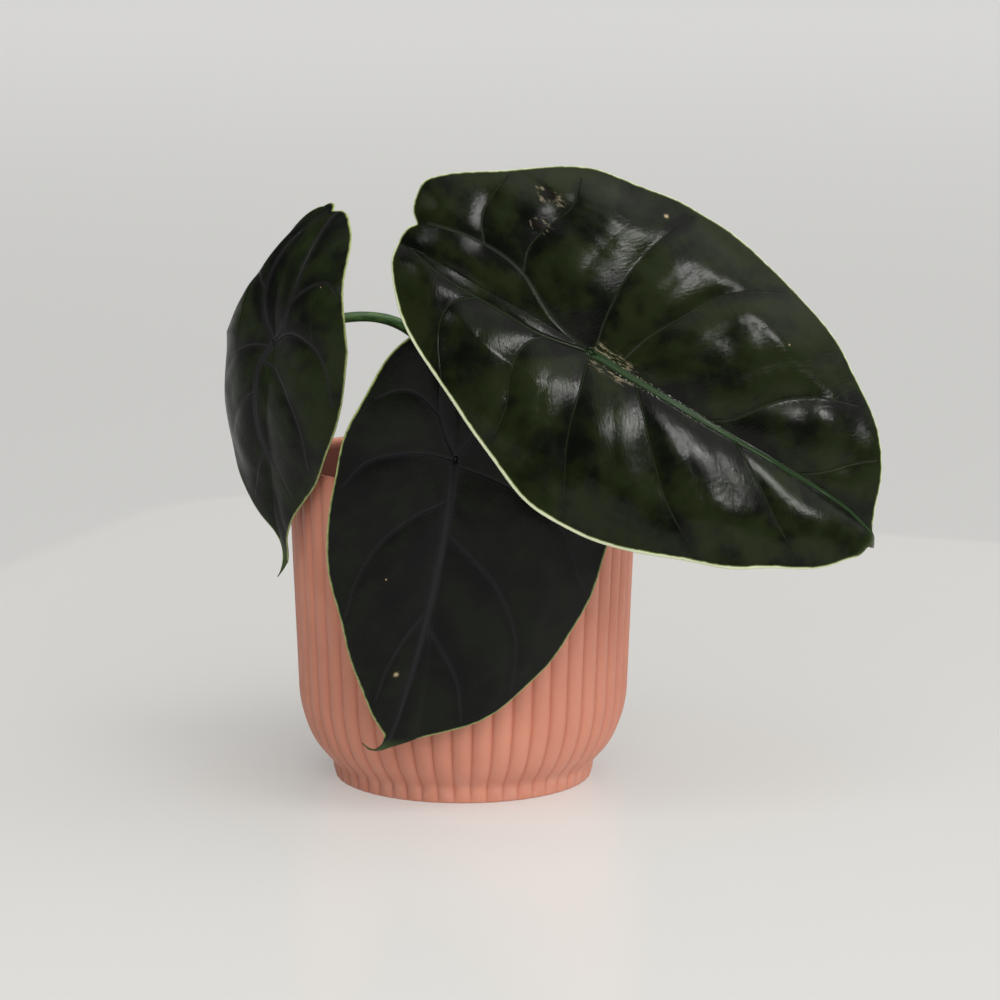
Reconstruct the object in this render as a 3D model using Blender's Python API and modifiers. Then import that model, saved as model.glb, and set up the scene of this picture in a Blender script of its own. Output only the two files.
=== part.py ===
"""Potted alocasia: three leathery peltate leaves on fleshy stalks, rising from one crown in
potting mix. The mix is held by a thin grow pot, which stands inside a ribbed cover pot.
Metres, +Z up. The origin is the middle of the cover pot's flat underside."""

import math

import bmesh
import bpy
import numpy as np
from mathutils import Matrix, Vector

# ---- cover pot ----
COVER_RIM_DIAMETER = 0.140
COVER_HEIGHT = 0.130
COVER_WALL = 0.0024
COVER_FLOOR = 0.004
COVER_TAPER = 0.0036             # how much the straight wall draws in down to the shoulder
COVER_SHOULDER_HEIGHT = 0.040    # where the straight wall ends and the rounded bottom starts
COVER_TURN_DROP = 0.0356         # upright half axis of the ellipse the rounded bottom follows
COVER_TURN_END = 60.0            # degrees of that ellipse in use
COVER_FOOT_STEP = 0.0028         # from the end of the rounded bottom in to the foot
COVER_FOOT_HEIGHT = 0.0065
RIB_COUNT = 50
RIB_DEPTH = 0.0015
STEPS_PER_RIB = 4

# ---- grow pot ----
GROW_RIM_DROP = 0.021            # how far its rim sits below the cover pot's rim
GROW_WALL = 0.0011
GROW_RIM_GAP = 0.0055            # air between its lip and the cover pot
GROW_LIP_WIDTH = 0.0022
GROW_LIP_HEIGHT = 0.006
GROW_FOOT_RADIUS = 0.043
GROW_FOOT_GAP = 0.009            # from there out to the edge of the cover pot's foot
GROW_STEPS = 48

# ---- potting mix and crown ----
MIX_DROP = 0.011                 # mix surface below the grow pot's rim
MIX_DOME = 0.003
CROWN_Y = -0.006
CROWN_RADIUS = 0.0125
CROWN_ABOVE = 0.016
CROWN_BELOW = 0.024
CROWN_STEPS = 24

# ---- shared ----
CLEARANCE = 0.0003
BLADE_THICKNESS = 0.0010
BLADE_STEPS = 64
BLADE_RINGS = (0.0, 0.10, 0.24, 0.40, 0.56, 0.70, 0.83, 0.93, 1.0)
SAME_PLACE = 0.00002             # vertices this close are one
SHARP_EDGE = 40.0                # degrees between faces from which an edge is drawn sharp
MM = 0.001

RIM_RADIUS = COVER_RIM_DIAMETER / 2
SHOULDER_RADIUS = RIM_RADIUS - COVER_TAPER
COVER_FOOT_RADIUS = GROW_FOOT_RADIUS + GROW_FOOT_GAP
TURN_REACH = SHOULDER_RADIUS - COVER_FOOT_RADIUS - COVER_FOOT_STEP
TURN_WIDTH = TURN_REACH / (1 - math.cos(math.radians(COVER_TURN_END)))
GROW_RIM_Z = COVER_HEIGHT - GROW_RIM_DROP
GROW_BASE_Z = COVER_FLOOR + CLEARANCE
MIX_Z = GROW_RIM_Z - MIX_DROP

# ---- leaves ----
# Outlines are drawn in mm for a blade of "drawn" length, stalk joint at the origin, notch
# towards +Y and drip tip towards -Y, upper side facing +Z. Each half runs from notch to tip.
LARGE = {
    "length": 0.222,
    "drawn": 222.0,
    "joint": (0.0485, -RIM_RADIUS - 0.026, COVER_HEIGHT + 0.057),
    "tip_direction": (0.84, -0.10, -0.485),
    "faces": (0.10, -0.93, 0.34),
    "right": [(1, 78.5), (4, 83), (10, 85), (18, 84), (33, 71), (50, 52), (63, 33), (70, 10),
              (72, -9), (70, -34), (63, -60), (52, -86), (38, -105), (22, -118), (9, -124),
              (2, -128), (0, -137)],
    "left": [(1, 78.5), (-3, 84), (-9, 85), (-18, 81), (-31, 67), (-40, 47), (-51, 22),
             (-61, -5), (-63, -25), (-58, -48), (-49, -72), (-38, -94), (-24, -113),
             (-12, -124), (-4, -127), (-2, -130), (0, -137)],
    "sweep": -3.0, "bow": 0.0, "top_sweep": 8.0, "tip_side": 0.0,
    "tip_bend": 16.0, "tip_hook": 90.0, "hook_from": 0.88, "top_bend": 10.0,
    "roll_right": 18.0, "roll_left": 12.0, "top_curl": 0.0,
    "dimple": 2.0, "valley": 3.0, "valley_width": 8.0,
}
FRONT = {
    "length": 0.175,
    "drawn": 175.0,
    "joint": (-0.002, -RIM_RADIUS - 0.018, COVER_HEIGHT + 0.015),
    "tip_direction": (-0.13, 0.12, -0.99),
    "faces": (0.10, -0.98, -0.06),
    "right": [(1, 46), (7, 52), (18, 52), (34, 44), (50, 27), (61, 4), (65, -20), (63, -43),
              (56, -68), (45, -89), (30, -104), (14, -112), (4, -116), (1.5, -118), (0, -123)],
    "left": [(1, 46), (-7, 53), (-17, 49), (-29, 38), (-38, 19), (-44, 0), (-45, -24),
             (-42, -47), (-32, -68), (-22, -88), (-12, -101), (-4, -110), (-1.5, -115),
             (-1, -118), (0, -123)],
    "sweep": -13.0, "bow": 0.0, "top_sweep": 0.0, "tip_side": -6.0,
    "tip_bend": 8.0, "tip_hook": 50.0, "hook_from": 0.91, "top_bend": 10.0,
    "roll_right": 14.0, "roll_left": 24.0, "top_curl": 0.0,
    "dimple": 2.0, "valley": 2.0, "valley_width": 7.0,
}
LEFT = {
    "length": 0.156,
    "drawn": 156.0,
    "joint": (-RIM_RADIUS - 0.0035, -0.030, COVER_HEIGHT + 0.051),
    "tip_direction": (-0.02, -0.02, -1.0),
    "faces": (-0.72, -0.68, 0.08),
    "right": [(0, 56), (5, 60), (11, 57), (21, 44), (32, 28), (39, 10), (42, -10), (42, -24),
              (39, -36), (30, -51), (18, -63), (8, -72), (3, -78), (1.5, -86), (0, -96)],
    "left": [(0, 56), (-5, 60), (-11, 57), (-21, 44), (-32, 28), (-39, 10), (-41, -10),
             (-38, -24), (-33, -37), (-24, -52), (-13, -63), (-5, -72), (-2.5, -78),
             (-1.5, -86), (0, -96)],
    "sweep": 9.0, "bow": -6.0, "top_sweep": 9.0, "tip_side": -5.0,
    "tip_bend": 22.0, "tip_hook": -20.0, "hook_from": 0.75, "top_bend": 50.0,
    "roll_right": 34.0, "roll_left": 60.0, "top_curl": 1.5,
    "dimple": 3.0, "valley": 2.0, "valley_width": 6.0,
}

# Each stalk leaves the crown at "base" (x and y from the crown's middle), rises along "rise"
# and meets the back of its blade along "approach".
STALKS = {
    "petiole_large": {"blade": LARGE, "base": (0.0065, 0.001), "rise": (0.004, 0.010, 0.075),
                      "approach": (-0.006, 0.048, -0.020), "radii": (0.0042, 0.0027)},
    "petiole_front": {"blade": FRONT, "base": (-0.002, -0.0065), "rise": (0.0, -0.010, 0.066),
                      "approach": (-0.0035, 0.034, 0.008), "radii": (0.0036, 0.0023)},
    "petiole_left": {"blade": LEFT, "base": (-0.0055, 0.0045), "rise": (0.010, 0.004, 0.078),
                     "approach": (0.045, 0.032, 0.019), "radii": (0.0034, 0.0020)},
}
STALK_POINTS = 15
ROOTING_DEPTH = 0.012            # how far a stalk starts below the crown's top

LEAF_UPPER = (0.014, 0.024, 0.012)
STALK_GREEN = (0.045, 0.10, 0.03)

for old in list(bpy.data.objects):
    bpy.data.objects.remove(old, do_unlink=True)

ASSEMBLY = bpy.data.collections.new("potted_alocasia")
CUTTERS = bpy.data.collections.new("cutters")
bpy.context.scene.collection.children.link(ASSEMBLY)
bpy.context.scene.collection.children.link(CUTTERS)


def material(name, colour, roughness):
    mat = bpy.data.materials.new(name)
    mat.use_nodes = True
    shader = mat.node_tree.nodes["Principled BSDF"]
    shader.inputs["Base Color"].default_value = (*colour, 1.0)
    shader.inputs["Roughness"].default_value = roughness
    shader.inputs["Metallic"].default_value = 0.0
    return mat


def add_object(name, mesh, collection, mat=None):
    obj = bpy.data.objects.new(name, mesh)
    if mat is not None:
        mesh.materials.append(mat)
    collection.objects.link(obj)
    if collection is CUTTERS:
        obj.hide_render = True
        obj.display_type = "WIRE"
    return obj


def line_mesh(name, points):
    """A line through the points; a step that runs along the turning axis is left out."""
    mesh = bpy.data.meshes.new(name)
    pairs = [(i, i + 1) for i in range(len(points) - 1)]
    edges = [(a, b) for a, b in pairs if points[a][0] > 0.0 or points[b][0] > 0.0]
    mesh.from_pydata([tuple(p) for p in points], edges, [])
    return mesh


def turned(name, profile, steps, collection, mat=None):
    """Turn a profile given as (radius, height) points, down the outside and up the inside."""
    mesh = line_mesh(name, [(r, 0.0, z) for r, z in profile])
    obj = add_object(name, mesh, collection, mat)
    screw = obj.modifiers.new("turn", "SCREW")
    screw.axis = "Z"
    screw.steps = steps
    screw.render_steps = steps
    screw.use_merge_vertices = True
    screw.merge_threshold = 0.00001
    apply_modifiers(obj)
    return obj


def apply_modifiers(obj):
    """Make the modifier result the object's own mesh."""
    graph = bpy.context.evaluated_depsgraph_get()
    mesh = bpy.data.meshes.new_from_object(obj.evaluated_get(graph))
    mesh.name = obj.name
    obj.modifiers.clear()
    obj.data = mesh


def face_outwards(obj):
    """Weld the seams and turn every face outwards."""
    work = bmesh.new()
    work.from_mesh(obj.data)
    bmesh.ops.remove_doubles(work, verts=work.verts, dist=SAME_PLACE / 4)
    bmesh.ops.recalc_face_normals(work, faces=work.faces)
    work.to_mesh(obj.data)
    work.free()


def cut(target, cutter):
    boolean = target.modifiers.new("cut", "BOOLEAN")
    boolean.operation = "DIFFERENCE"
    boolean.solver = "EXACT"
    boolean.object = cutter
    apply_modifiers(target)


def build_cover_pot():
    def turn(degrees, inset):
        angle = math.radians(degrees)
        radius = SHOULDER_RADIUS - TURN_WIDTH * (1 - math.cos(angle))
        height = COVER_SHOULDER_HEIGHT - COVER_TURN_DROP * math.sin(angle)
        return (radius - inset * math.cos(angle), height + inset * math.sin(angle))

    outside = [(RIM_RADIUS, COVER_HEIGHT)]
    outside += [turn(degrees, 0.0) for degrees in (0.0, 15.0, 30.0, 45.0, COVER_TURN_END)]
    outside += [(COVER_FOOT_RADIUS + RIB_DEPTH / 2, COVER_FOOT_HEIGHT), (COVER_FOOT_RADIUS, 0.0)]
    inset = COVER_WALL + RIB_DEPTH
    inner_foot = turn(50.0, inset)
    inside = [(0.0, 0.0), (0.0, COVER_FLOOR), (inner_foot[0] - 0.006, COVER_FLOOR), inner_foot]
    inside += [turn(25.0, inset), turn(0.0, inset), (RIM_RADIUS - COVER_WALL, COVER_HEIGHT)]
    profile = outside + inside + [outside[0]]
    pot = turned("cover_pot", profile, RIB_COUNT * STEPS_PER_RIB, ASSEMBLY, SALMON)
    face_outwards(pot)
    for vertex in pot.data.vertices:
        radius = math.hypot(vertex.co.x, vertex.co.y)
        if not any(abs(radius - r) + abs(vertex.co.z - z) < SAME_PLACE for r, z in outside):
            continue
        # Round ribs: the wall sinks towards the narrow groove at each rib's two sides.
        ribs_round = math.atan2(vertex.co.y, vertex.co.x) / math.tau * RIB_COUNT
        across = 2 * (ribs_round - math.floor(ribs_round + 0.0001)) - 1
        sag = RIB_DEPTH * (1 - math.sqrt(max(0.0, 1 - across * across)))
        factor = 1 - sag / RIM_RADIUS
        vertex.co.x *= factor
        vertex.co.y *= factor


def build_grow_pot():
    rim = RIM_RADIUS - COVER_WALL - GROW_RIM_GAP
    top = rim - GROW_LIP_WIDTH
    base = GROW_BASE_Z
    profile = [
        (rim, GROW_RIM_Z),
        (rim, GROW_RIM_Z - GROW_LIP_HEIGHT),
        (top, GROW_RIM_Z - GROW_LIP_HEIGHT),
        (GROW_FOOT_RADIUS + 0.002, base + 0.003),
        (GROW_FOOT_RADIUS, base),
        (0.0, base),
        (0.0, base + GROW_WALL),
        (GROW_FOOT_RADIUS - GROW_WALL, base + GROW_WALL),
        (GROW_FOOT_RADIUS + 0.002 - GROW_WALL, base + 0.004),
        (top - GROW_WALL, GROW_RIM_Z - GROW_LIP_HEIGHT + GROW_WALL),
        (rim - GROW_WALL, GROW_RIM_Z - GROW_LIP_HEIGHT + GROW_WALL),
        (rim - GROW_WALL, GROW_RIM_Z),
        (rim, GROW_RIM_Z),
    ]
    pot = turned("grow_pot", profile, GROW_STEPS, ASSEMBLY, BLACK_PLASTIC)
    face_outwards(pot)


def crown_profile(grow):
    """The stout crown the stalks spring from, enlarged by grow for the pocket it sits in."""
    top = MIX_Z + MIX_DOME + CROWN_ABOVE + grow
    bottom = MIX_Z - CROWN_BELOW - grow
    neck = MIX_Z + MIX_DOME
    wide = CROWN_RADIUS + grow
    return [(0.0, top), (wide * 0.55, top - 0.0012), (wide * 0.88, top - 0.0045),
            (wide, neck + 0.004), (wide, neck - 0.006), (wide * 0.8, bottom + 0.005),
            (wide * 0.45, bottom), (0.0, bottom)]


def place(obj, x, y):
    obj.data.transform(Matrix.Translation((x, y, 0.0)))


def build_crown():
    crown = turned("crown", crown_profile(0.0), CROWN_STEPS, ASSEMBLY, CROWN_BROWN)
    face_outwards(crown)
    place(crown, 0.0, CROWN_Y)
    socket = turned("crown_socket", crown_profile(CLEARANCE), CROWN_STEPS, CUTTERS)
    face_outwards(socket)
    place(socket, 0.0, CROWN_Y)
    return socket


def build_mix(socket):
    """The mix fills the grow pot up to a slightly domed top, a fitting gap off its wall."""
    base = GROW_BASE_Z + GROW_WALL + CLEARANCE
    rim = RIM_RADIUS - COVER_WALL - GROW_RIM_GAP
    top_radius = rim - GROW_LIP_WIDTH
    run = (GROW_RIM_Z - GROW_LIP_HEIGHT) - (GROW_BASE_Z + 0.003)
    rise = (MIX_Z - GROW_BASE_Z - 0.003) / run
    wall_at_mix = GROW_FOOT_RADIUS + 0.002 + (top_radius - GROW_FOOT_RADIUS - 0.002) * rise
    gap = GROW_WALL + CLEARANCE * 2
    profile = [
        (0.0, MIX_Z + MIX_DOME),
        (wall_at_mix * 0.35, MIX_Z + MIX_DOME * 0.95),
        (wall_at_mix * 0.7, MIX_Z + MIX_DOME * 0.6),
        (wall_at_mix - gap, MIX_Z),
        (GROW_FOOT_RADIUS + 0.002 - gap, base + 0.004),
        (GROW_FOOT_RADIUS - gap, base),
        (0.0, base),
    ]
    mix = turned("potting_mix", profile, GROW_STEPS, ASSEMBLY, MIX_BROWN)
    face_outwards(mix)
    cut(mix, socket)


def smooth_half(points, fractions):
    """Catmull-Rom curve through the outline points, read at fractions of its length."""
    ends = np.array(points, float)
    ring = np.vstack([2 * ends[0] - ends[1], ends, 2 * ends[-1] - ends[-2]])
    t = np.linspace(0.0, 1.0, 24, endpoint=False)[:, None]
    pieces = []
    for a, b, c, d in zip(ring, ring[1:], ring[2:], ring[3:]):
        pieces.append(0.5 * (2 * b + (c - a) * t + (2 * a - 5 * b + 4 * c - d) * t ** 2
                             + (3 * b - a - 3 * c + d) * t ** 3))
    curve = np.vstack(pieces + [ends[-1:]])
    run = np.concatenate([[0.0], np.cumsum(np.linalg.norm(np.diff(curve, axis=0), axis=1))])
    at = np.asarray(fractions) * run[-1]
    return np.stack([np.interp(at, run, curve[:, 0]), np.interp(at, run, curve[:, 1])], 1)


def blade_axes(leaf):
    """Across, along (towards the notch) and out of the upper side."""
    out = Vector(leaf["faces"]).normalized()
    along = -Vector(leaf["tip_direction"])
    along = (along - out * along.dot(out)).normalized()
    return along.cross(out), along, out


def bend_blade(leaf, flat):
    """Carry flat outline-plane points (mm) onto the bent blade, in metres."""
    across, along = flat[:, 0].copy(), flat[:, 1]
    reach = -leaf["right"][-1][1]
    head = leaf["right"][0][1]
    to_tip = np.clip(-along / reach, 0.0, 1.2)
    to_top = np.clip(along / head, 0.0, 1.3)
    hook = leaf["hook_from"]
    past_hook = np.clip((-along / reach - hook) / (1 - hook), 0.0, 1.5)
    across += leaf["bow"] * np.sin(math.pi * np.clip(to_tip, 0.0, 1.0))
    across += leaf["sweep"] * to_tip ** 2 + leaf["top_sweep"] * to_top ** 2
    across += leaf["tip_side"] * past_hook ** 2

    spine = np.linspace(-1.15 * reach, 1.3 * head + 12.0, 600)
    hooked = np.clip((-spine / reach - hook) / (1 - hook), 0.0, 1.5)
    turn = np.where(spine < 0, leaf["tip_bend"] * -spine / reach + leaf["tip_hook"] * hooked ** 2,
                    -leaf["top_bend"] * spine / head)
    turn = np.radians(turn)
    step = np.gradient(spine)
    forward = np.cumsum(np.cos(turn) * step)
    fall = np.cumsum(np.sin(turn) * step)
    forward -= np.interp(0.0, spine, forward)
    fall -= np.interp(0.0, spine, fall)
    spine_y = np.interp(along, spine, forward)
    spine_z = np.interp(along, spine, fall)
    tilt = np.interp(along, spine, turn)

    roll = np.radians(np.where(across > 0, leaf["roll_right"], leaf["roll_left"])) / 60.0
    roll = roll * (1 + leaf["top_curl"] * np.clip(to_top, 0.0, 1.2) * (across < 0))
    width = np.abs(across)
    side = np.sin(roll * width) / roll * np.sign(across)
    height = -(1 - np.cos(roll * width)) / roll
    height += leaf["valley"] * (1 - np.exp(-width / leaf["valley_width"]))
    height += leaf["dimple"] * (1 - np.exp(-(np.hypot(across, along) / 16.0) ** 2))

    local_y = spine_y - height * np.sin(tilt)
    local_z = spine_z + height * np.cos(tilt)
    axes = [np.array(axis) for axis in blade_axes(leaf)]
    size = leaf["length"] / (MM * leaf["drawn"])
    offset = np.outer(side, axes[0]) + np.outer(local_y, axes[1]) + np.outer(local_z, axes[2])
    return np.array(leaf["joint"]) + MM * size * offset


def build_blade(name, leaf):
    """A round web of rings and spokes, stretched to the outline, bent and thickened."""
    mesh = line_mesh(name, [(ring, 0.0, 0.0) for ring in BLADE_RINGS])
    blade = add_object(name, mesh, ASSEMBLY, LEAF)
    screw = blade.modifiers.new("web", "SCREW")
    screw.axis = "Z"
    screw.steps = BLADE_STEPS
    screw.render_steps = BLADE_STEPS
    screw.use_merge_vertices = True
    screw.merge_threshold = 0.0001
    apply_modifiers(blade)
    web = np.array([vertex.co[:] for vertex in blade.data.vertices])
    ring = np.hypot(web[:, 0], web[:, 1])
    from_notch = np.degrees(np.arctan2(web[:, 0], web[:, 1])) / 180.0
    edge = np.where((from_notch > 0)[:, None], smooth_half(leaf["right"], np.abs(from_notch)),
                    smooth_half(leaf["left"], np.abs(from_notch)))
    bent = bend_blade(leaf, edge * ring[:, None])
    for vertex, co in zip(blade.data.vertices, bent):
        vertex.co = co
    blade.data.update()
    out = blade_axes(leaf)[2]
    total = sum((face.normal * face.area for face in blade.data.polygons), Vector())
    if total.dot(out) < 0:
        blade.data.flip_normals()
    thick = blade.modifiers.new("thickness", "SOLIDIFY")
    thick.thickness = BLADE_THICKNESS
    thick.offset = -1.0
    thick.use_even_offset = True
    apply_modifiers(blade)
    face_outwards(blade)


def build_stalk(name, stalk, socket):
    leaf = stalk["blade"]
    out = blade_axes(leaf)[2]
    start = Vector((stalk["base"][0], CROWN_Y + stalk["base"][1],
                    MIX_Z + MIX_DOME + CROWN_ABOVE - ROOTING_DEPTH))
    end_radius = stalk["radii"][1]
    back = Vector(leaf["joint"]) - out * (BLADE_THICKNESS + CLEARANCE)
    approach = Vector(stalk["approach"])
    lean = end_radius * math.tan(min(1.2, approach.angle(-out)))
    end = back + approach.normalized() * (lean + CLEARANCE)
    handles = (start, start + Vector(stalk["rise"]), end + approach, end)
    curve = bpy.data.curves.new(name, "CURVE")
    curve.dimensions = "3D"
    curve.bevel_depth = 1.0
    curve.bevel_resolution = 2
    curve.use_fill_caps = True
    spline = curve.splines.new("POLY")
    spline.points.add(STALK_POINTS - 1)
    for i, point in enumerate(spline.points):
        t = i / (STALK_POINTS - 1)
        weights = ((1 - t) ** 3, 3 * t * (1 - t) ** 2, 3 * t * t * (1 - t), t ** 3)
        co = sum((h * w for h, w in zip(handles, weights)), Vector())
        point.co = (*co, 1.0)
        point.radius = stalk["radii"][0] + (end_radius - stalk["radii"][0]) * min(1.0, t * 1.4)
    source = bpy.data.objects.new(name + "_line", curve)
    CUTTERS.objects.link(source)
    source.hide_render = True
    graph = bpy.context.evaluated_depsgraph_get()
    mesh = bpy.data.meshes.new_from_object(source.evaluated_get(graph))
    mesh.transform(source.matrix_world)
    obj = add_object(name, mesh, ASSEMBLY, STALK)
    bpy.data.objects.remove(source, do_unlink=True)
    face_outwards(obj)
    cut(obj, socket)


SALMON = material("salmon_plastic", (0.60, 0.25, 0.175), 0.55)
BLACK_PLASTIC = material("black_plastic", (0.015, 0.015, 0.016), 0.5)
MIX_BROWN = material("potting_mix", (0.045, 0.028, 0.018), 0.95)
CROWN_BROWN = material("crown_tissue", (0.10, 0.075, 0.035), 0.7)
LEAF = material("leaf", LEAF_UPPER, 0.3)
STALK = material("stalk", STALK_GREEN, 0.4)

build_cover_pot()
build_grow_pot()
crown_socket = build_crown()
build_mix(crown_socket)
build_blade("leaf_blade_large", LARGE)
build_blade("leaf_blade_front", FRONT)
build_blade("leaf_blade_left", LEFT)
for stalk_name, stalk_sizes in STALKS.items():
    build_stalk(stalk_name, stalk_sizes, crown_socket)
for piece in ASSEMBLY.objects:
    piece.data.shade_smooth()
    piece.data.set_sharp_from_angle(angle=math.radians(SHARP_EDGE))
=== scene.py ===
"""Looks of the potted alocasia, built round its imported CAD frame. Metres, +Z up.

The CAD holds the plain solids. This script stands a finished piece in for each of them: the
ribbed cover pot, the nursery pot, the potting mix with its bark and perlite, the crown, the
three stalks and the three quilted leaf blades."""

import math

import bmesh
import bpy
import numpy as np
from mathutils import Euler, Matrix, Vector


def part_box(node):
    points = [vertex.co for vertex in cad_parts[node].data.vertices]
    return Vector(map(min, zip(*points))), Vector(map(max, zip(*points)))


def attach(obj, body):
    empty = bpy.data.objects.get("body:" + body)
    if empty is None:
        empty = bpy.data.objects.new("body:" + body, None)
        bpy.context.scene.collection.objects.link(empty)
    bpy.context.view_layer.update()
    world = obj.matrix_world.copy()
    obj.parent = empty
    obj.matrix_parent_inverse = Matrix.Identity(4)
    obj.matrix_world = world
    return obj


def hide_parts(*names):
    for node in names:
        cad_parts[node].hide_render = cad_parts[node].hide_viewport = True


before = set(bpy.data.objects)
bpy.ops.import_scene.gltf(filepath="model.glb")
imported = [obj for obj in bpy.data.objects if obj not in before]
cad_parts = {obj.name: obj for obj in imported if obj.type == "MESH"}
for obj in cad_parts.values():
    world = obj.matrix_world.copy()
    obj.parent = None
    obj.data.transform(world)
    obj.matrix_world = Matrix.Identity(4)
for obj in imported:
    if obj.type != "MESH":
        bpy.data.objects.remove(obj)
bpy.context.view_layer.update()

MM = 0.001
BODY = "root"

# ---- camera: a long lens before the plant, looking a little down ----
CAMERA_PLACE = (0.0149, -1.650, 0.421)
CAMERA_TILT = 79.4               # degrees from straight down
CAMERA_LENS = 150.5
CAMERA_SENSOR = 36.0

# ---- studio ----
TABLE_CORNER = (-0.144, 0.63)
TABLE_TURN = 21.0
TABLE_ROUNDING = 0.08
TABLE_SOFT = 0.02                # half width of the table edge's soft line
TABLE_GLOW = 0.32                # bounced room light that keeps shadows on the table faint
FLOOR_HALF = 14.0
BRIGHT_SIDE = (0.45, 0.10, 0.85) # where the room is brightest; it is dark behind the camera
BRIGHT_FROM = 0.60               # cosine to that side where the room starts to brighten
BRIGHT_FULL = 0.97
ROOM_DARK = 0.06
ROOM_BRIGHT = 1.25
ROOM_COLOUR = (1.0, 0.99, 0.97, 1.0)
LIGHT_TARGET = (0.0, 0.0, 0.15)
PANE = (0.45, 0.85)              # width and height of the lamps that glint on the leaves
SOFTBOX = (5.0, 5.0)
# Lamp, degrees to the camera's right, degrees up, distance, size, watts, colour, and whether
# it makes only the reflections ("gloss") or only the plain light ("soft").
LAMPS = [
    ("window", 42.0, 37.0, 6.0, PANE, 130.0, (1.0, 0.99, 0.975), "gloss"),
    ("softbox", 12.0, 42.0, 5.0, SOFTBOX, 270.0, (1.0, 0.985, 0.965), "soft"),
    ("fill", 58.0, 30.0, 5.0, SOFTBOX, 95.0, (0.98, 0.99, 1.0), "soft"),
    ("glint", -50.0, 45.0, 6.0, PANE, 22.0, (0.94, 0.97, 1.0), "gloss"),
]

# ---- pots, mix and crown: sizes shared with the CAD ----
RIM_RADIUS = 0.070
COVER_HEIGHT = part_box("cover_pot")[1].z
COVER_WALL = 0.0024
COVER_FLOOR = 0.004
COVER_SHOULDER_RADIUS = 0.0664
COVER_SHOULDER_HEIGHT = 0.040
COVER_TURN_WIDTH = 0.0232
COVER_TURN_DROP = 0.0356
BELLY_END = 55.0                 # degrees of the belly's ellipse before the hollow above the foot
COVER_FOOT_RADIUS = 0.052
COVER_FOOT_HEIGHT = 0.0065
RIB_COUNT = 50
RIB_DEPTH = 0.0015
GROOVE_DEPTH = 0.0019            # the moulded groove, a little deeper than the CAD's facets
GROOVE_FULL_Z = 0.030            # the grooves shallow below this height
GROOVE_END_Z = 0.004             # and nearly run out at the foot's edge
COVER_RIM_ROUND = 0.0013         # height of the rounded rim
STEPS_PER_RIB = 14
GROW_STEPS = 144
GROW_RIM_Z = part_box("grow_pot")[1].z
GROW_BASE_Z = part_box("grow_pot")[0].z
GROW_RIM_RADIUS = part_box("grow_pot")[1].x
GROW_WALL = 0.0011
GROW_LIP_WIDTH = 0.0022
GROW_LIP_HEIGHT = 0.006
GROW_FOOT_RADIUS = 0.043
GROW_FOOT_TURN = 0.002           # how far the wall stands out over the rounded foot
GROW_FOOT_RISE = 0.003
MIX_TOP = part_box("potting_mix")[1].z
MIX_DOME = 0.003
MIX_Z = MIX_TOP - MIX_DOME
CROWN_Y = -0.006
CROWN_RADIUS = 0.0125
CROWN_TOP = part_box("crown")[1].z
CLEARANCE = 0.0003
ROOTING_DEPTH = 0.012            # of the stalks in the crown
MIX_STEPS = 220
MIX_RINGS = 60
MIX_LUMPS = [(0.0008, 15.0, 5), (0.00045, 5.0, 6), (0.00025, 2.4, 7)]    # height, mm across, seed
LEAN = 0.35                      # radians, how far a chip lies off level
STREWN_RADIUS = 0.0535           # chips and crumbs lie within this radius
CROWN_STEPS = 72
SCAR_PITCH = 0.0036              # rise of the leaf scars round the crown per turn
STALK_RINGS = 90
STALK_STEPS = 28
SKIN_RADIUS = 4.0                # mm, of the skin pattern wrapped round every stalk

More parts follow.
